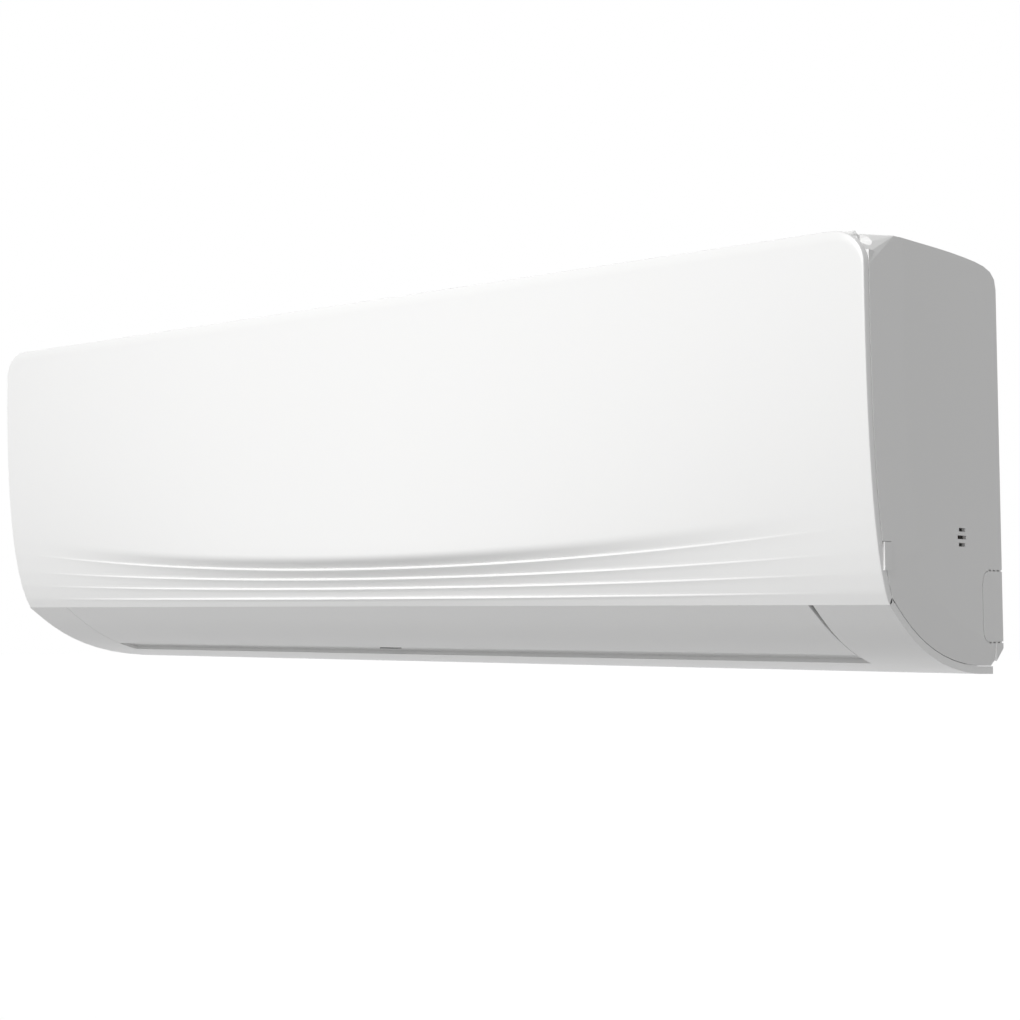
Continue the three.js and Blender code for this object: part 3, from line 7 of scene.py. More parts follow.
import bmesh
import bpy
import numpy as np
from bpy.props import FloatProperty, FloatVectorProperty, IntProperty, PointerProperty
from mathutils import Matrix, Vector

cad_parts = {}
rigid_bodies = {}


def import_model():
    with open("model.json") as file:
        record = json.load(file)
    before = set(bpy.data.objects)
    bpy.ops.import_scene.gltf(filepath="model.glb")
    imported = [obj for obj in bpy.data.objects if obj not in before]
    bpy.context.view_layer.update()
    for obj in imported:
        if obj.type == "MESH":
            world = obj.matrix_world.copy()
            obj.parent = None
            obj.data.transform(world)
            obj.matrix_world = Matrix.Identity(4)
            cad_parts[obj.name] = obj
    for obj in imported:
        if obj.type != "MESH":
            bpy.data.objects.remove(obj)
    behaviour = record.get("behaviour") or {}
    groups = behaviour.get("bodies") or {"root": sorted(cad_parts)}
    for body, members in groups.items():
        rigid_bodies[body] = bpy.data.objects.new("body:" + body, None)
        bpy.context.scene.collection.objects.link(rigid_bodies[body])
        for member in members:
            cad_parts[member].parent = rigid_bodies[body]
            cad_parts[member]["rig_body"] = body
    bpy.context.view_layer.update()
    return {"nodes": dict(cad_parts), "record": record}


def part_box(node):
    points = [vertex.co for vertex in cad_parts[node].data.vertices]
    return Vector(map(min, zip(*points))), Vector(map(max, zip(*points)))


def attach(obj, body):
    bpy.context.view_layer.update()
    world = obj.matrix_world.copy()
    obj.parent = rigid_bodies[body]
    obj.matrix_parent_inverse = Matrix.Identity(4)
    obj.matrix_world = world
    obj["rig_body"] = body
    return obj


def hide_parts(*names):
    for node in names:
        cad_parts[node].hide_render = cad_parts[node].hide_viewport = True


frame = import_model()

bl_info = {
    "name": "Mini Split Indoor Unit",
    "version": (1, 0, 0),
    "blender": (4, 5, 0),
    "location": "View3D > Sidebar > Indoor Unit",
    "description": "Builds the look of a wall-hung air conditioner indoor unit around its frame",
    "category": "Object",
}

MM = 0.001
SLOTS = {row["node"]: row["material_slot"] for row in frame["record"]["subparts"]}


# ---------------------------------------------------------------- sizes and finishes


def length(name, description, millimetres):
    """A length that a user can change, kept in Blender's own unit."""
    return FloatProperty(name=name, description=description, default=millimetres * MM, unit="LENGTH")


class UnitSizes(bpy.types.PropertyGroup):
    """Sizes that shape the moulded pieces."""

    panel_corner: length("Panel corner", "Radius of the upper corners", 20.5)
    panel_round: length("Panel edge", "Rounding of the panel's edges", 1.3)
    panel_wall: length("Panel wall", "Thickness of the panel's skin", 2.6)
    panel_rim: length("Panel rim", "Depth of the panel's edges", 5.7)
    crease_height: length("Crease", "Height of the arched crease above the seam", 33.6)
    crease_rise: length("Crease rise", "Rise of the arch at the ends", 23.9)
    crease_fill: FloatProperty(
        name="Crease fill", description="How upright the middle stays", default=0.92, subtype="FACTOR")
    ridge_step: length("Ridge step", "Height of a ridge off the strip over it", 1.7)
    edge_round: length("Edge", "Rounding of the bottom cover's edges", 0.5)
    columns: IntProperty(name="Columns", description="Columns of the panel's surface", default=110)


def finish_colour(name, description, colour):
    return FloatVectorProperty(name=name, description=description, default=colour, subtype="COLOR")


class UnitFinishes(bpy.types.PropertyGroup):
    """Base colours of the finishes."""

    panel_white: finish_colour("Panel white", "Gloss white of the panel", (0.88, 0.88, 0.875))
    case_white: finish_colour("Case white", "Grained white of the case", (0.86, 0.86, 0.855))
    # The inner grey is partly the plastic's own colour and partly painted shade: it is set darker so that the
    # gaps into the unit read dark.
    inner_white: finish_colour("Inner grey", "Plain plastic inside", (0.30, 0.30, 0.295))
    inner_black: finish_colour("Inner black", "Black plastic inside", (0.035, 0.036, 0.038))
    zinc_steel: finish_colour("Zinc", "Coated steel sheet", (0.56, 0.58, 0.60))
    copper: finish_colour("Copper", "Drawn copper", (0.62, 0.29, 0.17))
    net_blue: finish_colour("Net", "Nylon of the filters", (0.075, 0.11, 0.17))


def in_millimetres(group):
    """The values of a group, with its lengths in the script's millimetres."""
    kinds = group.bl_rna.properties
    values = {name: getattr(group, name) for name in group.__annotations__}
    lengths = {name: round(value / MM, 4) for name, value in values.items() if kinds[name].unit == "LENGTH"}
    return SimpleNamespace(**{**values, **lengths})


# ---------------------------------------------------------------- shader expressions


class Wire:
    """A shader socket that can stand in a Python expression."""

    def __init__(self, paint, socket):
        self.paint = paint
        self.socket = socket

    def _math(self, operation, *values):
        return self.paint.node("ShaderNodeMath", {"operation": operation}, *values)

    def __add__(self, other):
        return self._math("ADD", self, other)

    __radd__ = __add__

    def __sub__(self, other):
        return self._math("SUBTRACT", self, other)

    def __rsub__(self, other):
        return self._math("SUBTRACT", other, self)

    def __mul__(self, other):
        return self._math("MULTIPLY", self, other)

    __rmul__ = __mul__

    def __truediv__(self, other):
        return self._math("DIVIDE", self, other)

    def __rtruediv__(self, other):
        return self._math("DIVIDE", other, self)

    def __pow__(self, other):
        return self._math("POWER", self, other)

    def __rpow__(self, other):
        return self._math("POWER", other, self)

    def __mod__(self, other):
        return self._math("FLOORED_MODULO", self, other)

    def __rmod__(self, other):
        return self._math("FLOORED_MODULO", other, self)

    def __abs__(self):
        return self._math("ABSOLUTE", self)


class Paint:
    """The nodes of a material or of the sky, under construction."""

    def __init__(self, block, shader="Principled BSDF"):
        self.block = block
        block.use_nodes = True
        self.tree = block.node_tree
        self.shader = self.tree.nodes[shader]

    def node(self, kind, settings=None, *values, output=0, places=None, **named):
        """A node of a kind: settings first, then its sockets in order, by number, or by name."""
        made = self.tree.nodes.new(kind)
        for key, value in (settings or {}).items():
            setattr(made, key, value)
        for place, value in [*enumerate(values), *(places or {}).items(), *named.items()]:
            self.feed(made.inputs[place], value)
        return Wire(self, made.outputs[output])

    def feed(self, socket, value):
        if isinstance(value, Wire):
            self.tree.links.new(value.socket, socket)
        elif hasattr(value, "__len__") and len(value) == 3 and socket.type == "RGBA":
            socket.default_value = (*value, 1)
        else:
            socket.default_value = value

    def set(self, **values):
        for name, value in values.items():
            self.feed(self.shader.inputs[name.replace("_", " ")], value)
        return self

    def place(self):
        """Metres in the unit's own frame."""
        return self.node("ShaderNodeTexCoord", output="Object")

    def axes(self):
        split = self.node("ShaderNodeSeparateXYZ", None, self.place())
        return [Wire(self, output) for output in split.socket.node.outputs]

    def noise(self, scale, detail=2.0, rough=0.5, stretch=None):
        where = self.place()
        if stretch:
            where = self.node("ShaderNodeVectorMath", {"operation": "MULTIPLY"}, where, Vector(stretch))
        return self.node(
            "ShaderNodeTexNoise", None, Vector=where, Scale=scale, Detail=detail, Roughness=rough)

    def blend(self, factor, a, b):
        """From one colour to another; a Mix node's colours are its sockets 6 and 7, and come out at 2."""
        return self.node("ShaderNodeMix", {"data_type": "RGBA"}, factor, places={6: a, 7: b}, output=2)

    def bump(self, height, distance, strength=1.0):
        return self.node("ShaderNodeBump", None, Height=height, Distance=distance, Strength=strength)

    def seen(self):
        """One for what the camera sees, by itself or in a mirror or glass; nought for the light it throws."""
        rays = self.node("ShaderNodeLightPath").socket.node.outputs
        kinds = ("Camera", "Glossy", "Transmission")
        camera, mirror, glass = [Wire(self, rays[f"Is {kind} Ray"]) for kind in kinds]
        either = self.node("ShaderNodeMath", {"operation": "MAXIMUM"}, camera, mirror)
        return self.node("ShaderNodeMath", {"operation": "MAXIMUM"}, either, glass)


def tint(colour, factor):
    return tuple(min(1.0, c * factor) for c in colour)


def colours():
    return bpy.context.scene.unit_finishes


def paint_panel_white(name):
    """Injection-moulded gloss white: faint flow clouding and a very fine orange peel."""
    p = Paint(bpy.data.materials.new(name))
    c = tuple(colours().panel_white)
    cloud = p.noise(5.0, 2.0)
    p.set(Base_Color=p.blend(cloud, tint(c, 0.996), tint(c, 1.004)), Roughness=p.noise(30.0) * 0.04 + 0.3,
          Normal=p.bump(p.noise(600.0, 1.0), 0.000004, 0.3), IOR=1.46)
    return p.block


def paint_case_white(name):
    """White with the fine spark-eroded grain of a case moulding."""
    p = Paint(bpy.data.materials.new(name))
    c = tuple(colours().case_white)
    grain = p.noise(1500.0, 2.0, 0.6)
    cloud = p.noise(6.0, 2.0)
    p.set(Base_Color=p.blend(cloud, tint(c, 0.993), tint(c, 1.005)), Roughness=grain * 0.1 + 0.45,
          Normal=p.bump(grain, 0.00001, 0.5), IOR=1.46)
    return p.block


def paint_inner_white(name):
    """Plain moulding with flow marks and a little settled dust on upward spots; its grey is partly the
    plastic's own colour and partly painted shade, set dark so that the gaps into the unit read dark.
    """
    p = Paint(bpy.data.materials.new(name))
    c = tuple(colours().inner_white)
    flow = p.noise(14.0, 4.0, 0.6, (0.35, 1, 1))
    dust = p.noise(160.0, 3.0) ** 3.0
    p.set(Base_Color=p.blend(flow, tint(c, 0.94), tint(c, 1.04)), Roughness=dust * 0.2 + 0.48,
          Normal=p.bump(p.noise(700.0, 2.0), 0.00006, 0.6))
    return p.block


def paint_inner_black(name):
    """Glass-filled black moulding with grey flow streaks."""
    p = Paint(bpy.data.materials.new(name))
    c = tuple(colours().inner_black)
    streak = p.noise(22.0, 4.0, 0.65, (0.15, 1, 1))
    p.set(Base_Color=p.blend(streak ** 2.0, c, tint(c, 1.9)), Roughness=streak * 0.25 + 0.38,
          Normal=p.bump(p.noise(900.0, 2.0), 0.00005, 0.6))
    return p.block


def paint_zinc_steel(name):
    """Hot-dip zinc with its spangle."""
    p = Paint(bpy.data.materials.new(name))
    c = tuple(colours().zinc_steel)
    cells = p.node("ShaderNodeTexVoronoi", {"feature": "F1"}, Vector=p.place(), Scale=110.0, output="Color")
    shade = p.node("ShaderNodeSeparateColor", None, cells)
    p.set(Base_Color=p.blend(shade, tint(c, 0.84), tint(c, 1.14)), Roughness=shade * 0.16 + 0.3, Metallic=1.0,
          Normal=p.bump(p.noise(420.0, 3.0), 0.00004, 0.5))
    return p.block


def paint_fins(name):
    """Thin coated fins side by side, seen on edge, with the odd one bent, and painted shade darkening the
    gaps between them.
    """
    p = Paint(bpy.data.materials.new(name))
    pitch = 0.0014
    wander = p.noise(90.0, 2.0) * 0.0006
    fin = abs(((p.axes()[0] + wander) % pitch) / pitch - 0.5) * 2.0
    # The narrow band between the fins is painted near black: painted shade in the gaps between the fins.
    gap_shade = fin ** 3.0
    colour = p.blend(gap_shade, (0.66, 0.72, 0.76), (0.05, 0.055, 0.06))
    p.set(Base_Color=colour, Roughness=p.noise(40.0) * 0.2 + 0.3, Metallic=0.85,
          Normal=p.bump(1.0 - gap_shade, 0.0006, 0.8))
    return p.block


def paint_copper(name):
    """Drawn copper with darker oxide clouds."""
    p = Paint(bpy.data.materials.new(name))
    c = tuple(colours().copper)
    oxide = p.noise(55.0, 4.0, 0.6)
    p.set(Base_Color=p.blend(oxide ** 1.6, tint(c, 1.15), tint(c, 0.5)), Roughness=oxide * 0.3 + 0.2,
          Metallic=1.0, Normal=p.bump(p.noise(500.0, 2.0), 0.00003, 0.5))
    return p.block


def paint_nut_brass(name):
    """Turned brass: fine rings along the axis and dull patches."""
    p = Paint(bpy.data.materials.new(name))
    pitch = 0.0005
    rings = abs((p.axes()[0] % pitch) / pitch - 0.5)
    dull = p.noise(130.0, 3.0)
    p.set(Base_Color=p.blend(dull, (0.66, 0.46, 0.17), (0.42, 0.27, 0.09)), Roughness=dull * 0.25 + 0.2,
          Metallic=1.0, Normal=p.bump(rings, 0.00005, 0.6))
    return p.block


def paint_soft_black(name):
    """Closed-cell foam and rubber: matt, with small pores."""
    p = Paint(bpy.data.materials.new(name))
    pores = p.node("ShaderNodeTexVoronoi", {"feature": "SMOOTH_F1"}, Vector=p.place(), Scale=900.0)
    p.set(Base_Color=p.blend(pores, (0.012, 0.012, 0.013), (0.045, 0.045, 0.047)), Roughness=0.86,
          Normal=p.bump(pores, 0.0003, 0.7))
    return p.block


NET_CENTRE = (-59.0, -2.0)
NET_RADIUS = 121.0


def paint_filter_net(name):
    """Woven nylon net between the moulded bars: a grid of fine threads, with the holes between them painted
    near black as painted shade seen through the net.
    """
    p = Paint(bpy.data.materials.new(name))
    c = tuple(colours().net_blue)
    x, y, z = p.axes()
    pitch = 0.0013
    angle = p.node("ShaderNodeMath", {"operation": "ARCTAN2"}, z - NET_CENTRE[1] * MM, y - NET_CENTRE[0] * MM)
    turn = angle * (NET_RADIUS * MM)
    across = abs((x % pitch) / pitch - 0.5) * 2.0
    along = abs((turn % pitch) / pitch - 0.5) * 2.0
    thread = p.node("ShaderNodeMath", {"operation": "MAXIMUM"}, across, along) ** 4.0
    # Between the threads the colour drops to near black: painted shade in place of the dark seen through the
    # holes.
    p.set(Base_Color=p.blend(thread, tint(c, 0.16), tint(c, 1.25)), Roughness=0.62 - 0.14 * thread,
          Normal=p.bump(thread, 0.0003, 0.8))
    return p.block


def paint_board_green(name):
    """Solder-resist green with copper runs under it."""
    p = Paint(bpy.data.materials.new(name))
    runs = p.node("ShaderNodeTexBrick", {"offset": 0.37, "squash": 0.6}, Vector=p.place(), Scale=95.0,
                  **{"Mortar Size": 0.012}, output="Fac")
    p.set(Base_Color=p.blend(runs, (0.015, 0.115, 0.05), (0.05, 0.24, 0.1)), Roughness=0.34,
          Normal=p.bump(runs, 0.0001, 0.6))
    return p.block


PAINTERS = {
    "panel_white": paint_panel_white, "case_white": paint_case_white, "inner_white": paint_inner_white,
    "inner_black": paint_inner_black, "zinc_steel": paint_zinc_steel, "fins": paint_fins,
    "copper": paint_copper, "nut_brass": paint_nut_brass, "soft_black": paint_soft_black,
    "filter_net": paint_filter_net, "board_green": paint_board_green,
}


def finish_of(slot):
    """The material of a slot, made the first time it is asked for."""
    return bpy.data.materials.get("finish_" + slot) or PAINTERS[slot]("finish_" + slot)


# ---------------------------------------------------------------- mesh helpers


def body_of_node(node):
    return frame["nodes"][node]["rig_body"]


def new_piece(name, mesh, slot, body, nodes=()):
    piece = bpy.data.objects.new(name, mesh)
    bpy.context.scene.collection.objects.link(piece)
    mesh.materials.clear()
    mesh.materials.append(finish_of(slot))
    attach(piece, body)
    if nodes:
        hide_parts(*nodes)
    return piece


def mesh_of(name, points, faces):
    """A mesh from points in millimetres, with its faces turned outwards."""
    mesh = bpy.data.meshes.new(name)
    mesh.from_pydata([tuple(float(v) * MM for v in p) for p in points], [], faces)
    tidy = bmesh.new()
    tidy.from_mesh(mesh)
    bmesh.ops.remove_doubles(tidy, verts=tidy.verts, dist=1e-6)
    bmesh.ops.recalc_face_normals(tidy, faces=tidy.faces)
    tidy.to_mesh(mesh)
    tidy.free()
    return mesh


def smooth(mesh, degrees):
    """Smooth shading, broken where faces meet at more than an angle."""
    mesh.polygons.foreach_set("use_smooth", [True] * len(mesh.polygons))
    mesh.set_sharp_from_angle(angle=math.radians(degrees))


SHARP = 32  # degrees between faces, from which a moulded edge is rounded


def moulded(node, edge=None, smooth_angle=34, name=None, flatness=0.4):
    """A CAD solid with its flat faces made whole and its edges rounded, in place of the plain one.

    Faces that meet at less than the flatness, in degrees, become one. An edge is rounded by its width in
    millimetres, and without one the large faces keep their own shade up to their borders.
    """
    source = frame["nodes"][node]
    form = bmesh.new()
    form.from_mesh(source.data)
    bmesh.ops.remove_doubles(form, verts=form.verts, dist=2e-6)
    bmesh.ops.dissolve_limit(form, angle_limit=math.radians(flatness), verts=form.verts, edges=form.edges)
    mesh = bpy.data.meshes.new(name or node + "_shape")
    form.to_mesh(mesh)
    form.free()
    smooth(mesh, smooth_angle)
    piece = new_piece(name or node + "_moulded", mesh, SLOTS[node], body_of_node(node), [node])
    if edge:
        bevel = piece.modifiers.new("edges", "BEVEL")
        bevel.width = edge * MM
        bevel.segments = 2
        bevel.limit_method = "ANGLE"
        bevel.angle_limit = math.radians(SHARP)
        bevel.use_clamp_overlap = True
        bevel.harden_normals = True
    else:
        normals = piece.modifiers.new("normals", "WEIGHTED_NORMAL")
        normals.weight = 100
        normals.keep_sharp = True
    return piece


def bezier(points, count):
    p = np.array(points, float)
    t = np.linspace(0, 1, count)[:, None]
    return ((1 - t) ** 3 * p[0] + 3 * (1 - t) ** 2 * t * p[1] + 3 * (1 - t) * t ** 2 * p[2] + t ** 3 * p[3])


def polar(centre, radius, degrees):
    a = math.radians(degrees)
    return np.array([centre[0] + radius * math.cos(a), centre[1] + radius * math.sin(a)])


def bar_along_x(outline, x0, x1):
    """Points and faces of a Y-Z outline run along X."""
    count = len(outline)
    points = [(x0, *p) for p in outline] + [(x1, *p) for p in outline]
    faces = [[i, (i + 1) % count, count + (i + 1) % count, count + i] for i in range(count)]
    return points, [*faces, list(range(count))[::-1], list(range(count, 2 * count))]


def gathered(parts):
    """Several sets of points and faces as one."""
    points, faces = [], []
    for some_points, some_faces in parts:
        faces += [[i + len(points) for i in face] for face in some_faces]
        points += list(some_points)
    return points, faces


# ---------------------------------------------------------------- front panel


PANEL_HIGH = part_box("front_panel")[1]
PANEL_HALF = PANEL_HIGH.x / MM
PANEL_TOP = PANEL_HIGH.z / MM
PANEL_DEPTH = 194.7
SEAM = (-167.2, -87.8)  # Y and Z of the panel's foot
SEAM_ANGLE = 54.7  # slope of the panel's outline at the seam, in degrees
SEAM_PULL = 41.4  # lengths of the handles of the curve that the outline follows
TOP_PULL = 80
FADE_HALF = 372  # X at which the crease and the ridges have died out
UPPER_ROWS = 30  # rows of the surface above the crease
CREASE_ROUND = 3.2  # height over which the crease turns
STRIP_FOOT = 1.3  # a strip ends this far above the middle of its ridge
RIDGES = ((25.8, 20.6), (18.9, 11.8), (12.2, 6.3), (5.2, 1.9))  # height over the seam, rise at the ends
STRIP_TILTS = (53.5, 48.5, 42.5, 36.0, 41.0)  # slope of each strip at the middle, off upright
# Across a ridge: height off its middle, share of its step, and share of its bead's swell.
RIDGE_SHAPE = ((0.95, 0.12, 0), (0.6, 0.5, 0.6), (0.25, 0.95, 1.0), (-0.1, 1.1, 1.1),
               (-0.45, 1.05, 0.6), (-0.8, 0.92, 0.05))
BEAD_SWELL = 0.35
PANEL_LINE = bezier([(-PANEL_DEPTH, PANEL_TOP), (-PANEL_DEPTH, PANEL_TOP - TOP_PULL),
                     polar(SEAM, SEAM_PULL, 180 - SEAM_ANGLE), SEAM], 600)


def panel_depth_at(z):
    """Y of the panel's plain outline at a height."""
    return np.interp(z, PANEL_LINE[::-1, 1], PANEL_LINE[::-1, 0])


def panel_inward(z):
    """Unit Y-Z vector into the unit, square to the plain outline."""
    slope = panel_depth_at(z + 0.5) - panel_depth_at(z - 0.5)
    return np.array([1.0, -slope]) / math.hypot(1, slope)


def fade_at(x):
    """How much of the crease is left at X: one at the middle, nought towards the ends."""
    return max(0.0, 1 - (x / FADE_HALF) ** 2) ** 1.65


def ridge_profile(sizes):
    """Middle of the panel below the crease: the heights over the seam, and the depths down to it."""
    crease = sizes.crease_height
    heights = [crease, *[h for h, _ in RIDGES], 0.0]
    fill = sizes.crease_fill
    base = float(panel_depth_at(SEAM[1] + crease))
    y = -PANEL_DEPTH + (1 - fill) * (base + PANEL_DEPTH)
    drops = [(heights[i] - heights[i + 1]) * math.tan(math.radians(t)) for i, t in enumerate(STRIP_TILTS)]
    scale = (SEAM[0] - y + len(RIDGES) * sizes.ridge_step) / sum(drops)
    levels = [y]
    for i, drop in enumerate(drops):
        y += drop * scale
        levels.append(y)
        if i < len(RIDGES):
            y -= sizes.ridge_step
            levels.append(y)
    return heights, levels


def panel_column(x, sizes, profile):
    """Heights above the seam and depths of one column, from below the top edge to the foot."""
    heights, levels = profile
    share = (x / PANEL_HALF) ** 2
    fade = fade_at(x)
    crease = sizes.crease_height + sizes.crease_rise * share
    fill = sizes.crease_fill * fade
    reach = sizes.panel_corner - sizes.panel_round
    past = max(0.0, abs(x) - (PANEL_HALF - sizes.panel_corner))
    head = PANEL_TOP - sizes.panel_corner + math.sqrt(max(0.0, reach ** 2 - min(past, reach) ** 2))
    top = head - SEAM[1]

    def upper(h):
        base = float(panel_depth_at(SEAM[1] + h))
        return base - fill * (base + PANEL_DEPTH)

    rows = [(h, upper(h)) for h in top + (crease + CREASE_ROUND - top) * np.linspace(0, 1, UPPER_ROWS)]
    # Below the crease, each place keeps its part of the middle's stand-off from the plain outline.
    middle_base = float(panel_depth_at(SEAM[1] + heights[0]))
    match = (upper(crease) - float(panel_depth_at(SEAM[1] + crease))) / (levels[0] - middle_base)
    tops = [crease, *[h + rise * share for h, rise in RIDGES], 0.0]

    def stand(i, level):
        return (level - float(panel_depth_at(SEAM[1] + heights[i]))) * match

    def at(i, level, shift):
        h = tops[i] + shift
        return h, float(panel_depth_at(SEAM[1] + h)) + stand(i, level)

    first_foot = at(1, levels[1], STRIP_FOOT)
    corner = (crease, upper(crease))
    start, end = np.array(rows[-1]), np.array(corner) + (np.array(first_foot) - corner) * 0.34
    for t in (0.17, 0.34, 0.5, 0.66, 0.83, 1.0):
        rows.append(tuple((1 - t) ** 2 * start + 2 * t * (1 - t) * np.array(corner) + t ** 2 * end))
    bead = fade ** 0.55
    for i in range(1, len(RIDGES) + 1):
        above, below = levels[2 * i - 1], levels[2 * i]
        foot = at(i, above, STRIP_FOOT)
        last = np.array(rows[-1])
        for t in (0.4, 0.75, 1.0):
            rows.append(tuple(last + (np.array(foot) - last) * t))
        lift = (below - above) * match
        for shift, part, extra in RIDGE_SHAPE:
            h, y = at(i, above, shift)
            rows.append((h, y + lift * part - BEAD_SWELL * bead * extra))
    last = np.array(rows[-1])
    foot = np.array([0.0, SEAM[0]])
    for t in (0.3, 0.6, 0.85, 1.0):
        rows.append(tuple(last + (foot - last) * t))
    return rows


def panel_columns(sizes):
    reach = sizes.panel_corner - sizes.panel_round
    straight = PANEL_HALF - sizes.panel_corner
    ends = [straight + reach * math.sin(math.radians(a)) for a in (12, 24, 36, 48, 60, 72, 82, 90)]
    middle = list(np.linspace(-straight, straight, sizes.columns))
    return [-e for e in ends[::-1]] + middle + ends


def rim_direction(place, i, j, wide, high, sizes):
    """Unit vector from the edge of the skin out over the rim; nought along the foot."""
    straight = PANEL_HALF - sizes.panel_corner
    side = math.copysign(1, place[0])
    if i in (0, wide - 1):
        return np.array([side, 0, 0])
    if j == high - 1:
        return np.zeros(3)
    if abs(place[0]) > straight:
        out = np.array([place[0] - side * straight, 0, place[2] - PANEL_TOP + sizes.panel_corner])
        return out / np.linalg.norm(out)
    return np.array([0.0, 0, 1])


FOOT_BEND = 0.4  # first turn of the foot's edge
FOOT_LIP = 0.6  # the foot is thicker than the skin by this


def rim_steps(place, out, foot, sizes):
    """Five points from the edge of the skin round the rim to its hollow back."""
    n = np.array([0.0, *panel_inward(place[2])])
    wall, turn, diagonal = sizes.panel_wall, sizes.panel_round, math.sqrt(0.5)
    deep = wall + FOOT_LIP if foot else sizes.panel_rim
    return (place + out * turn * diagonal + n * (0 if foot else turn * (1 - diagonal)),
            place + out * turn + n * (FOOT_BEND if foot else turn),
            place + out * turn + n * deep,
            place + out * (turn - wall) + n * deep,
            place + out * (turn - wall) + n * (deep if foot else wall))


def panel_back(front, wall):
    """The inside of the skin, which is plain behind the ridges."""
    back = np.empty_like(front)
    for i, column in enumerate(front):
        for j, (x, y, z) in enumerate(column):
            n = panel_inward(z)
            plain_y = y if j < UPPER_ROWS else max(y, float(panel_depth_at(z)))
            back[i, j] = (x, plain_y + n[0] * wall, z + n[1] * wall)
    return back


def panel_shell(sizes):
    """The panel's skin with rounded edges, its rim and its hollow back, as one closed surface."""
    profile = ridge_profile(sizes)
    xs = panel_columns(sizes)
    columns = [panel_column(x, sizes, profile) for x in xs]
    high, wide = len(columns[0]), len(xs)
    front = np.array([[(x, y, SEAM[1] + h) for h, y in column] for x, column in zip(xs, columns)])
    back = panel_back(front, sizes.panel_wall)
    ring = ([(i, 0) for i in range(wide)] + [(wide - 1, j) for j in range(1, high)]
            + [(i, high - 1) for i in range(wide - 2, -1, -1)] + [(0, j) for j in range(high - 2, 0, -1)])
    steps = [rim_steps(front[i, j], rim_direction(front[i, j], i, j, wide, high, sizes), j == high - 1, sizes)
             for i, j in ring]
    points = list(front.reshape(-1, 3)) + list(back.reshape(-1, 3))
    count = wide * high
    faces = []
    for i in range(wide - 1):
        for j in range(high - 1):
            a, b = i * high + j, (i + 1) * high + j
            faces.append([a, a + 1, b + 1, b])
            faces.append([count + a, count + b, count + b + 1, count + a + 1])
    rows = [[i * high + j for i, j in ring]]
    for loop in zip(*steps):
        rows.append(list(range(len(points), len(points) + len(loop))))
        points += loop
    rows.append([count + i * high + j for i, j in ring])
    for near, far in zip(rows, rows[1:]):
        for k in range(len(ring)):
            m = (k + 1) % len(ring)
            faces.append([near[k], near[m], far[m], far[k]])
    return points, faces


HINGE_AXIS = (-185.0, 124.5)
ARM_SPAN = (376.0, 381.0)
PIN_SPAN = (376.5, 387.0)
ARM_RADIUS = 3.2
PIN_RADIUS = 2.2
ARM_GAP = 1.3  # under the panel's top edge


def hinge_arms(sizes):
    """The two arms behind the top edge and the pins the panel turns on."""
    y, z = HINGE_AXIS
    front = -PANEL_DEPTH + sizes.panel_wall * 0.6
    top = PANEL_TOP - ARM_GAP
    round_end = [polar(HINGE_AXIS, ARM_RADIUS, a) for a in range(60, -61, -20)]
    outline = [(front, top), (y - 2, top), *round_end, (y - 3, z - 16), (front, z - 24)]
    pin = [polar(HINGE_AXIS, PIN_RADIUS, a) for a in range(0, 360, 15)]
    return gathered([bar_along_x(shape, *sorted(side * x for x in span))
                     for side in (-1, 1) for shape, span in ((outline, ARM_SPAN), (pin, PIN_SPAN))])


class UNIT_OT_front_panel(bpy.types.Operator):
    """Build the sculpted front panel with its ridges, rim and hinge arms"""

    bl_idname = "unit.front_panel"
    bl_label = "Front Panel"

    def execute(self, context):
        sizes = in_millimetres(context.scene.unit_sizes)
        mesh = mesh_of("panel_skin", *panel_shell(sizes))
        smooth(mesh, 40)
        new_piece("panel_skin", mesh, "panel_white", "front_panel", ["front_panel"])
        arms = mesh_of("panel_hinge_arms", *hinge_arms(sizes))
        smooth(arms, 30)
        new_piece("panel_hinge_arms", arms, "panel_white", "front_panel")
        return {"FINISHED"}


# ---------------------------------------------------------------- louver


class UNIT_OT_louver(bpy.types.Operator):
    """Dress the swinging louver with its ears and pins"""

    bl_idname = "unit.louver"
    bl_label = "Louver"

    def execute(self, context):
        moulded("louver", 0.45, name="louver_blade")
        return {"FINISHED"}


# ---------------------------------------------------------------- pieces that keep their solid's form


CASE_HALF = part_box("case_frame")[1].x / MM
CORNER_START = 372.0  # X and Z from which the case's top corners begin
CORNER_FOOT = 95.0
SIDEWAYS = 0.9  # X of the normals of the faces that make up a side
NOTCH_DEPTHS = (-174.5, -165.6)
NOTCH_HEIGHTS = (SEAM[1] + 19.8, SEAM[1] + 36.3)
NOTCH_SINK = 1.4  # its floor lies this far in from the case's side
NOTCH_WALL = 1.6


def dress(nodes, edge=None, smooth_angle=34):
    for node in nodes:
        moulded(node, edge, smooth_angle=smooth_angle)


def named(*starts):
    return sorted(n for n in frame["nodes"] if n.startswith(starts))


def keep_flat(mesh):
    """Shade the faces of the sides and of the top corners each by itself."""
    form = bmesh.new()
    form.from_mesh(mesh)
    for face in form.faces:
        at_corner = all(abs(v.co.x) > CORNER_START * MM and v.co.z > CORNER_FOOT * MM for v in face.verts)
        if abs(face.normal.x) > SIDEWAYS or at_corner:
            face.smooth = False
    form.to_mesh(mesh)
    form.free()


def notch_floors():
    """The closed bottoms of the finger notches, set in from the case's sides."""
    (front, rear), (low, high) = NOTCH_DEPTHS, NOTCH_HEIGHTS
    outline = [(front, low), (rear, low), (rear, high), (front, high)]
    outside = CASE_HALF - NOTCH_SINK
    return gathered([bar_along_x(outline, *sorted((side * outside, side * (outside - NOTCH_WALL))))
                     for side in (-1, 1)])


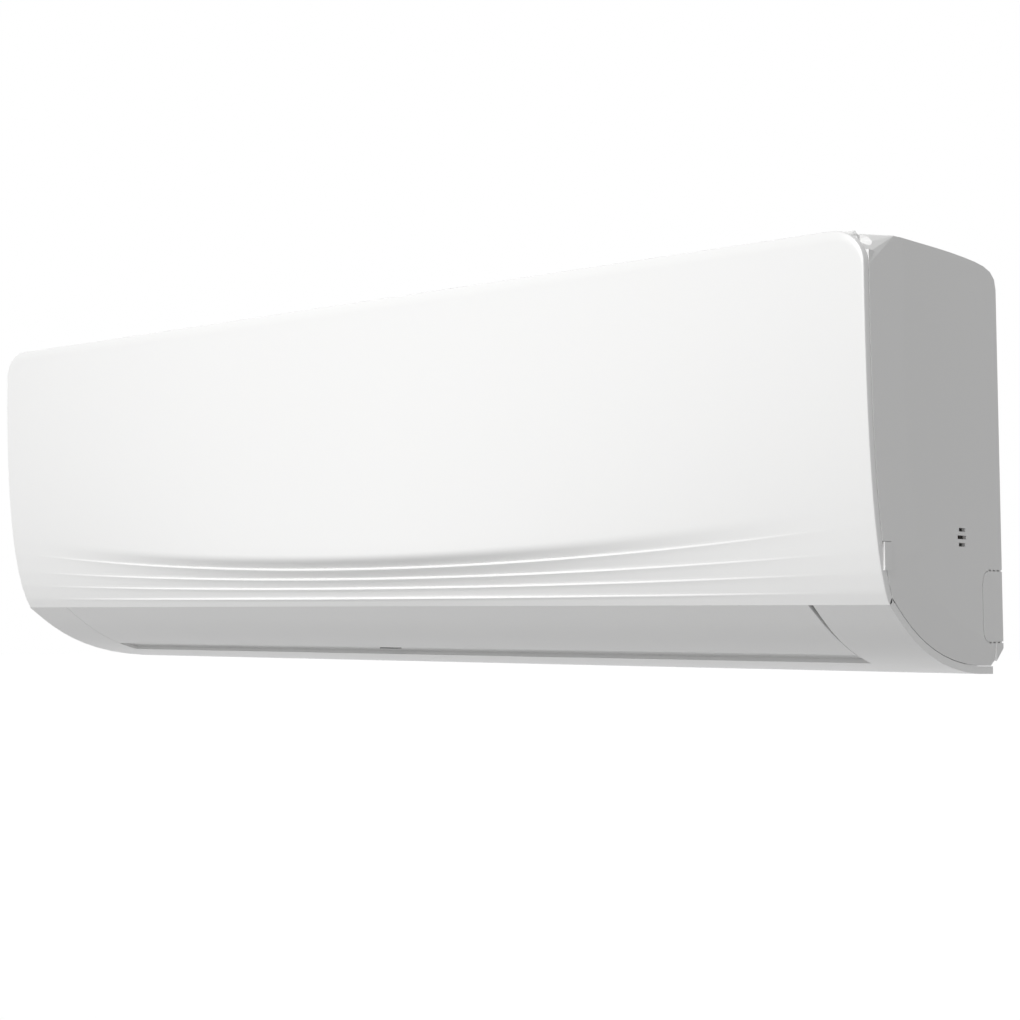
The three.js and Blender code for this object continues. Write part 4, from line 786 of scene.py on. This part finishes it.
class UNIT_OT_case(bpy.types.Operator):
    """Dress the case with its grille, and the cover under it"""

    bl_idname = "unit.case"
    bl_label = "Case"

    def execute(self, context):
        edge = in_millimetres(context.scene.unit_sizes).edge_round
        case = moulded("case_frame", flatness=0.02, smooth_angle=12)
        keep_flat(case.data)
        floors = mesh_of("notch_floors", *notch_floors())
        new_piece("notch_floors", floors, "case_white", body_of_node("case_frame"))
        moulded("bottom_cover", edge)
        return {"FINISHED"}


class UNIT_OT_chassis(bpy.types.Operator):
    """Dress the chassis, the wall plate and the drain pan"""

    bl_idname = "unit.chassis"
    bl_label = "Chassis"

    def execute(self, context):
        dress(["rear_chassis", "wall_plate", "drain_pan"], 0.3)
        dress(["drain_plug", "louver_clip"], 0.3)
        return {"FINISHED"}


class UNIT_OT_coil(bpy.types.Operator):
    """Dress the heat exchanger, its end plates and its pipes"""

    bl_idname = "unit.coil"
    bl_label = "Heat Exchanger"

    def execute(self, context):
        dress(named("evaporator_front", "evaporator_rear"))
        dress(named("evaporator_end"), smooth_angle=62)
        dress(["gas_pipe", "liquid_pipe"], smooth_angle=62)
        dress(["gas_flare_nut", "liquid_flare_nut"], 0.4)
        dress(["pipe_clamp"], 0.3)
        return {"FINISHED"}


class UNIT_OT_fan(bpy.types.Operator):
    """Dress the cross-flow fan, its bearing and its drive"""

    bl_idname = "unit.fan"
    bl_label = "Fan"

    def execute(self, context):
        dress(["fan"], smooth_angle=22)
        dress(["fan_motor", "motor_clamp", "bearing_seat", "fan_bearing"], 0.4)
        dress(["motor_shaft", "louver_motor", "vane_motor"], 0.3)
        return {"FINISHED"}


class UNIT_OT_vanes(bpy.types.Operator):
    """Dress the vanes, their link bars and their crank"""

    bl_idname = "unit.vanes"
    bl_label = "Vanes"

    def execute(self, context):
        dress([n for n in named("vane_") if n != "vane_motor"], 0.25)
        return {"FINISHED"}


class UNIT_OT_filters(bpy.types.Operator):
    """Dress the two filters"""

    bl_idname = "unit.filters"
    bl_label = "Filters"

    def execute(self, context):
        dress(["filter_left", "filter_right"])
        return {"FINISHED"}


class UNIT_OT_controls(bpy.types.Operator):
    """Dress the control box, its boards, the button and the room sensor"""

    bl_idname = "unit.controls"
    bl_label = "Controls"

    def execute(self, context):
        dress(["control_box", "control_box_cover", "main_board", "terminal_block"], 0.3)
        dress(["display_module", "auto_button", "thermistor_clip", "thermistor"], 0.3)
        return {"FINISHED"}


# ---------------------------------------------------------------- stage


def paint_sky(name, lit):
    """White to look at, and dimmer in the light that it throws on the object."""
    p = Paint(bpy.data.worlds.new(name), "Background")
    p.set(Color=p.blend(p.seen(), (lit,) * 3, (1.0, 1.0, 1.0)))
    return p.block


def paint_floor(name, lift):
    """A pale floor that is lifted to white for the camera alone, so that it still shows shadows."""
    p = Paint(bpy.data.materials.new(name))
    shade = p.noise(0.7, 2.0)
    p.set(Base_Color=p.blend(shade, (0.89, 0.89, 0.89), (0.91, 0.91, 0.91)), Roughness=0.9,
          Emission_Color=p.blend(p.seen(), (0.0, 0.0, 0.0), (lift,) * 3), Emission_Strength=1.0)
    return p.block


def lamp(name, place, target, size, power, spread):
    """A rectangular lamp with its place and size in metres, its power in watts and its beam in degrees."""
    data = bpy.data.lights.new(name, "AREA")
    data.shape = "RECTANGLE"
    data.size, data.size_y = size
    data.energy = power
    data.spread = math.radians(spread)
    lamp_object = bpy.data.objects.new(name, data)
    lamp_object.location = place
    lamp_object.rotation_euler = (Vector(target) - Vector(place)).to_track_quat("-Z", "Y").to_euler()
    bpy.context.scene.collection.objects.link(lamp_object)


PICTURE_WIDTH = 1020  # pixels
FOCAL_PIXELS = 1730
SENSOR_WIDTH = 36
EYE = (0.8407, -1.0877, -0.0922)
EYE_YAW = 37.939
EYE_PITCH = 3.394
SKY_LIGHT = 0.4
FLOOR_LIFT = 0.62
FLOOR_REACH = 40000
FLOOR_HEIGHT = -1300


def add_camera(scene):
    camera = bpy.data.cameras.new("camera")
    camera.sensor_width = SENSOR_WIDTH
    camera.lens = SENSOR_WIDTH * FOCAL_PIXELS / PICTURE_WIDTH
    camera.clip_end = 200
    eye = bpy.data.objects.new("camera", camera)
    eye.location = EYE
    eye.rotation_euler = (math.pi / 2 + math.radians(EYE_PITCH), 0, math.radians(EYE_YAW))
    scene.collection.objects.link(eye)
    scene.camera = eye


def add_floor(scene):
    ways = ((-1, -1), (1, -1), (1, 1), (-1, 1))
    corners = [(x * FLOOR_REACH, y * FLOOR_REACH, FLOOR_HEIGHT) for x, y in ways]
    floor = mesh_of("floor", corners, [[0, 1, 2, 3]])
    floor.materials.append(paint_floor("floor_white", FLOOR_LIFT))
    ground = bpy.data.objects.new("floor", floor)
    scene.collection.objects.link(ground)


class UNIT_OT_stage(bpy.types.Operator):
    """Set the camera, the lamp, the floor and the sky"""

    bl_idname = "unit.stage"
    bl_label = "Stage"

    def execute(self, context):
        scene = context.scene
        add_camera(scene)
        scene.world = paint_sky("sky", SKY_LIGHT)
        scene.view_settings.view_transform = "Standard"
        lamp("key", place=(0.15, -3.7, 1.6), target=(0, 0, 0), size=(1.2, 1.0), power=7.6, spread=45)
        add_floor(scene)
        return {"FINISHED"}


# ---------------------------------------------------------------- add-on


class UNIT_PT_sidebar(bpy.types.Panel):
    """Sidebar list of the unit's pieces"""

    bl_idname = "UNIT_PT_sidebar"
    bl_label = "Indoor Unit"
    bl_space_type = "VIEW_3D"
    bl_region_type = "UI"
    bl_category = "Indoor Unit"

    def draw(self, context):
        for operator in OPERATORS:
            self.layout.operator(operator.bl_idname)
        for group in (context.scene.unit_sizes, context.scene.unit_finishes):
            for name in group.__annotations__:
                self.layout.prop(group, name)


OPERATORS = (
    UNIT_OT_front_panel, UNIT_OT_louver, UNIT_OT_case, UNIT_OT_chassis, UNIT_OT_coil, UNIT_OT_fan,
    UNIT_OT_vanes, UNIT_OT_filters, UNIT_OT_controls, UNIT_OT_stage,
)
CLASSES = (UnitSizes, UnitFinishes, *OPERATORS, UNIT_PT_sidebar)


def register():
    for cls in CLASSES:
        bpy.utils.register_class(cls)
    bpy.types.Scene.unit_sizes = PointerProperty(type=UnitSizes)
    bpy.types.Scene.unit_finishes = PointerProperty(type=UnitFinishes)


def unregister():
    del bpy.types.Scene.unit_finishes
    del bpy.types.Scene.unit_sizes
    for cls in reversed(CLASSES):
        bpy.utils.unregister_class(cls)


def main():
    register()
    for operator in OPERATORS:
        group, name = operator.bl_idname.split(".")
        getattr(getattr(bpy.ops, group), name)()


if __name__ == "__main__":
    main()
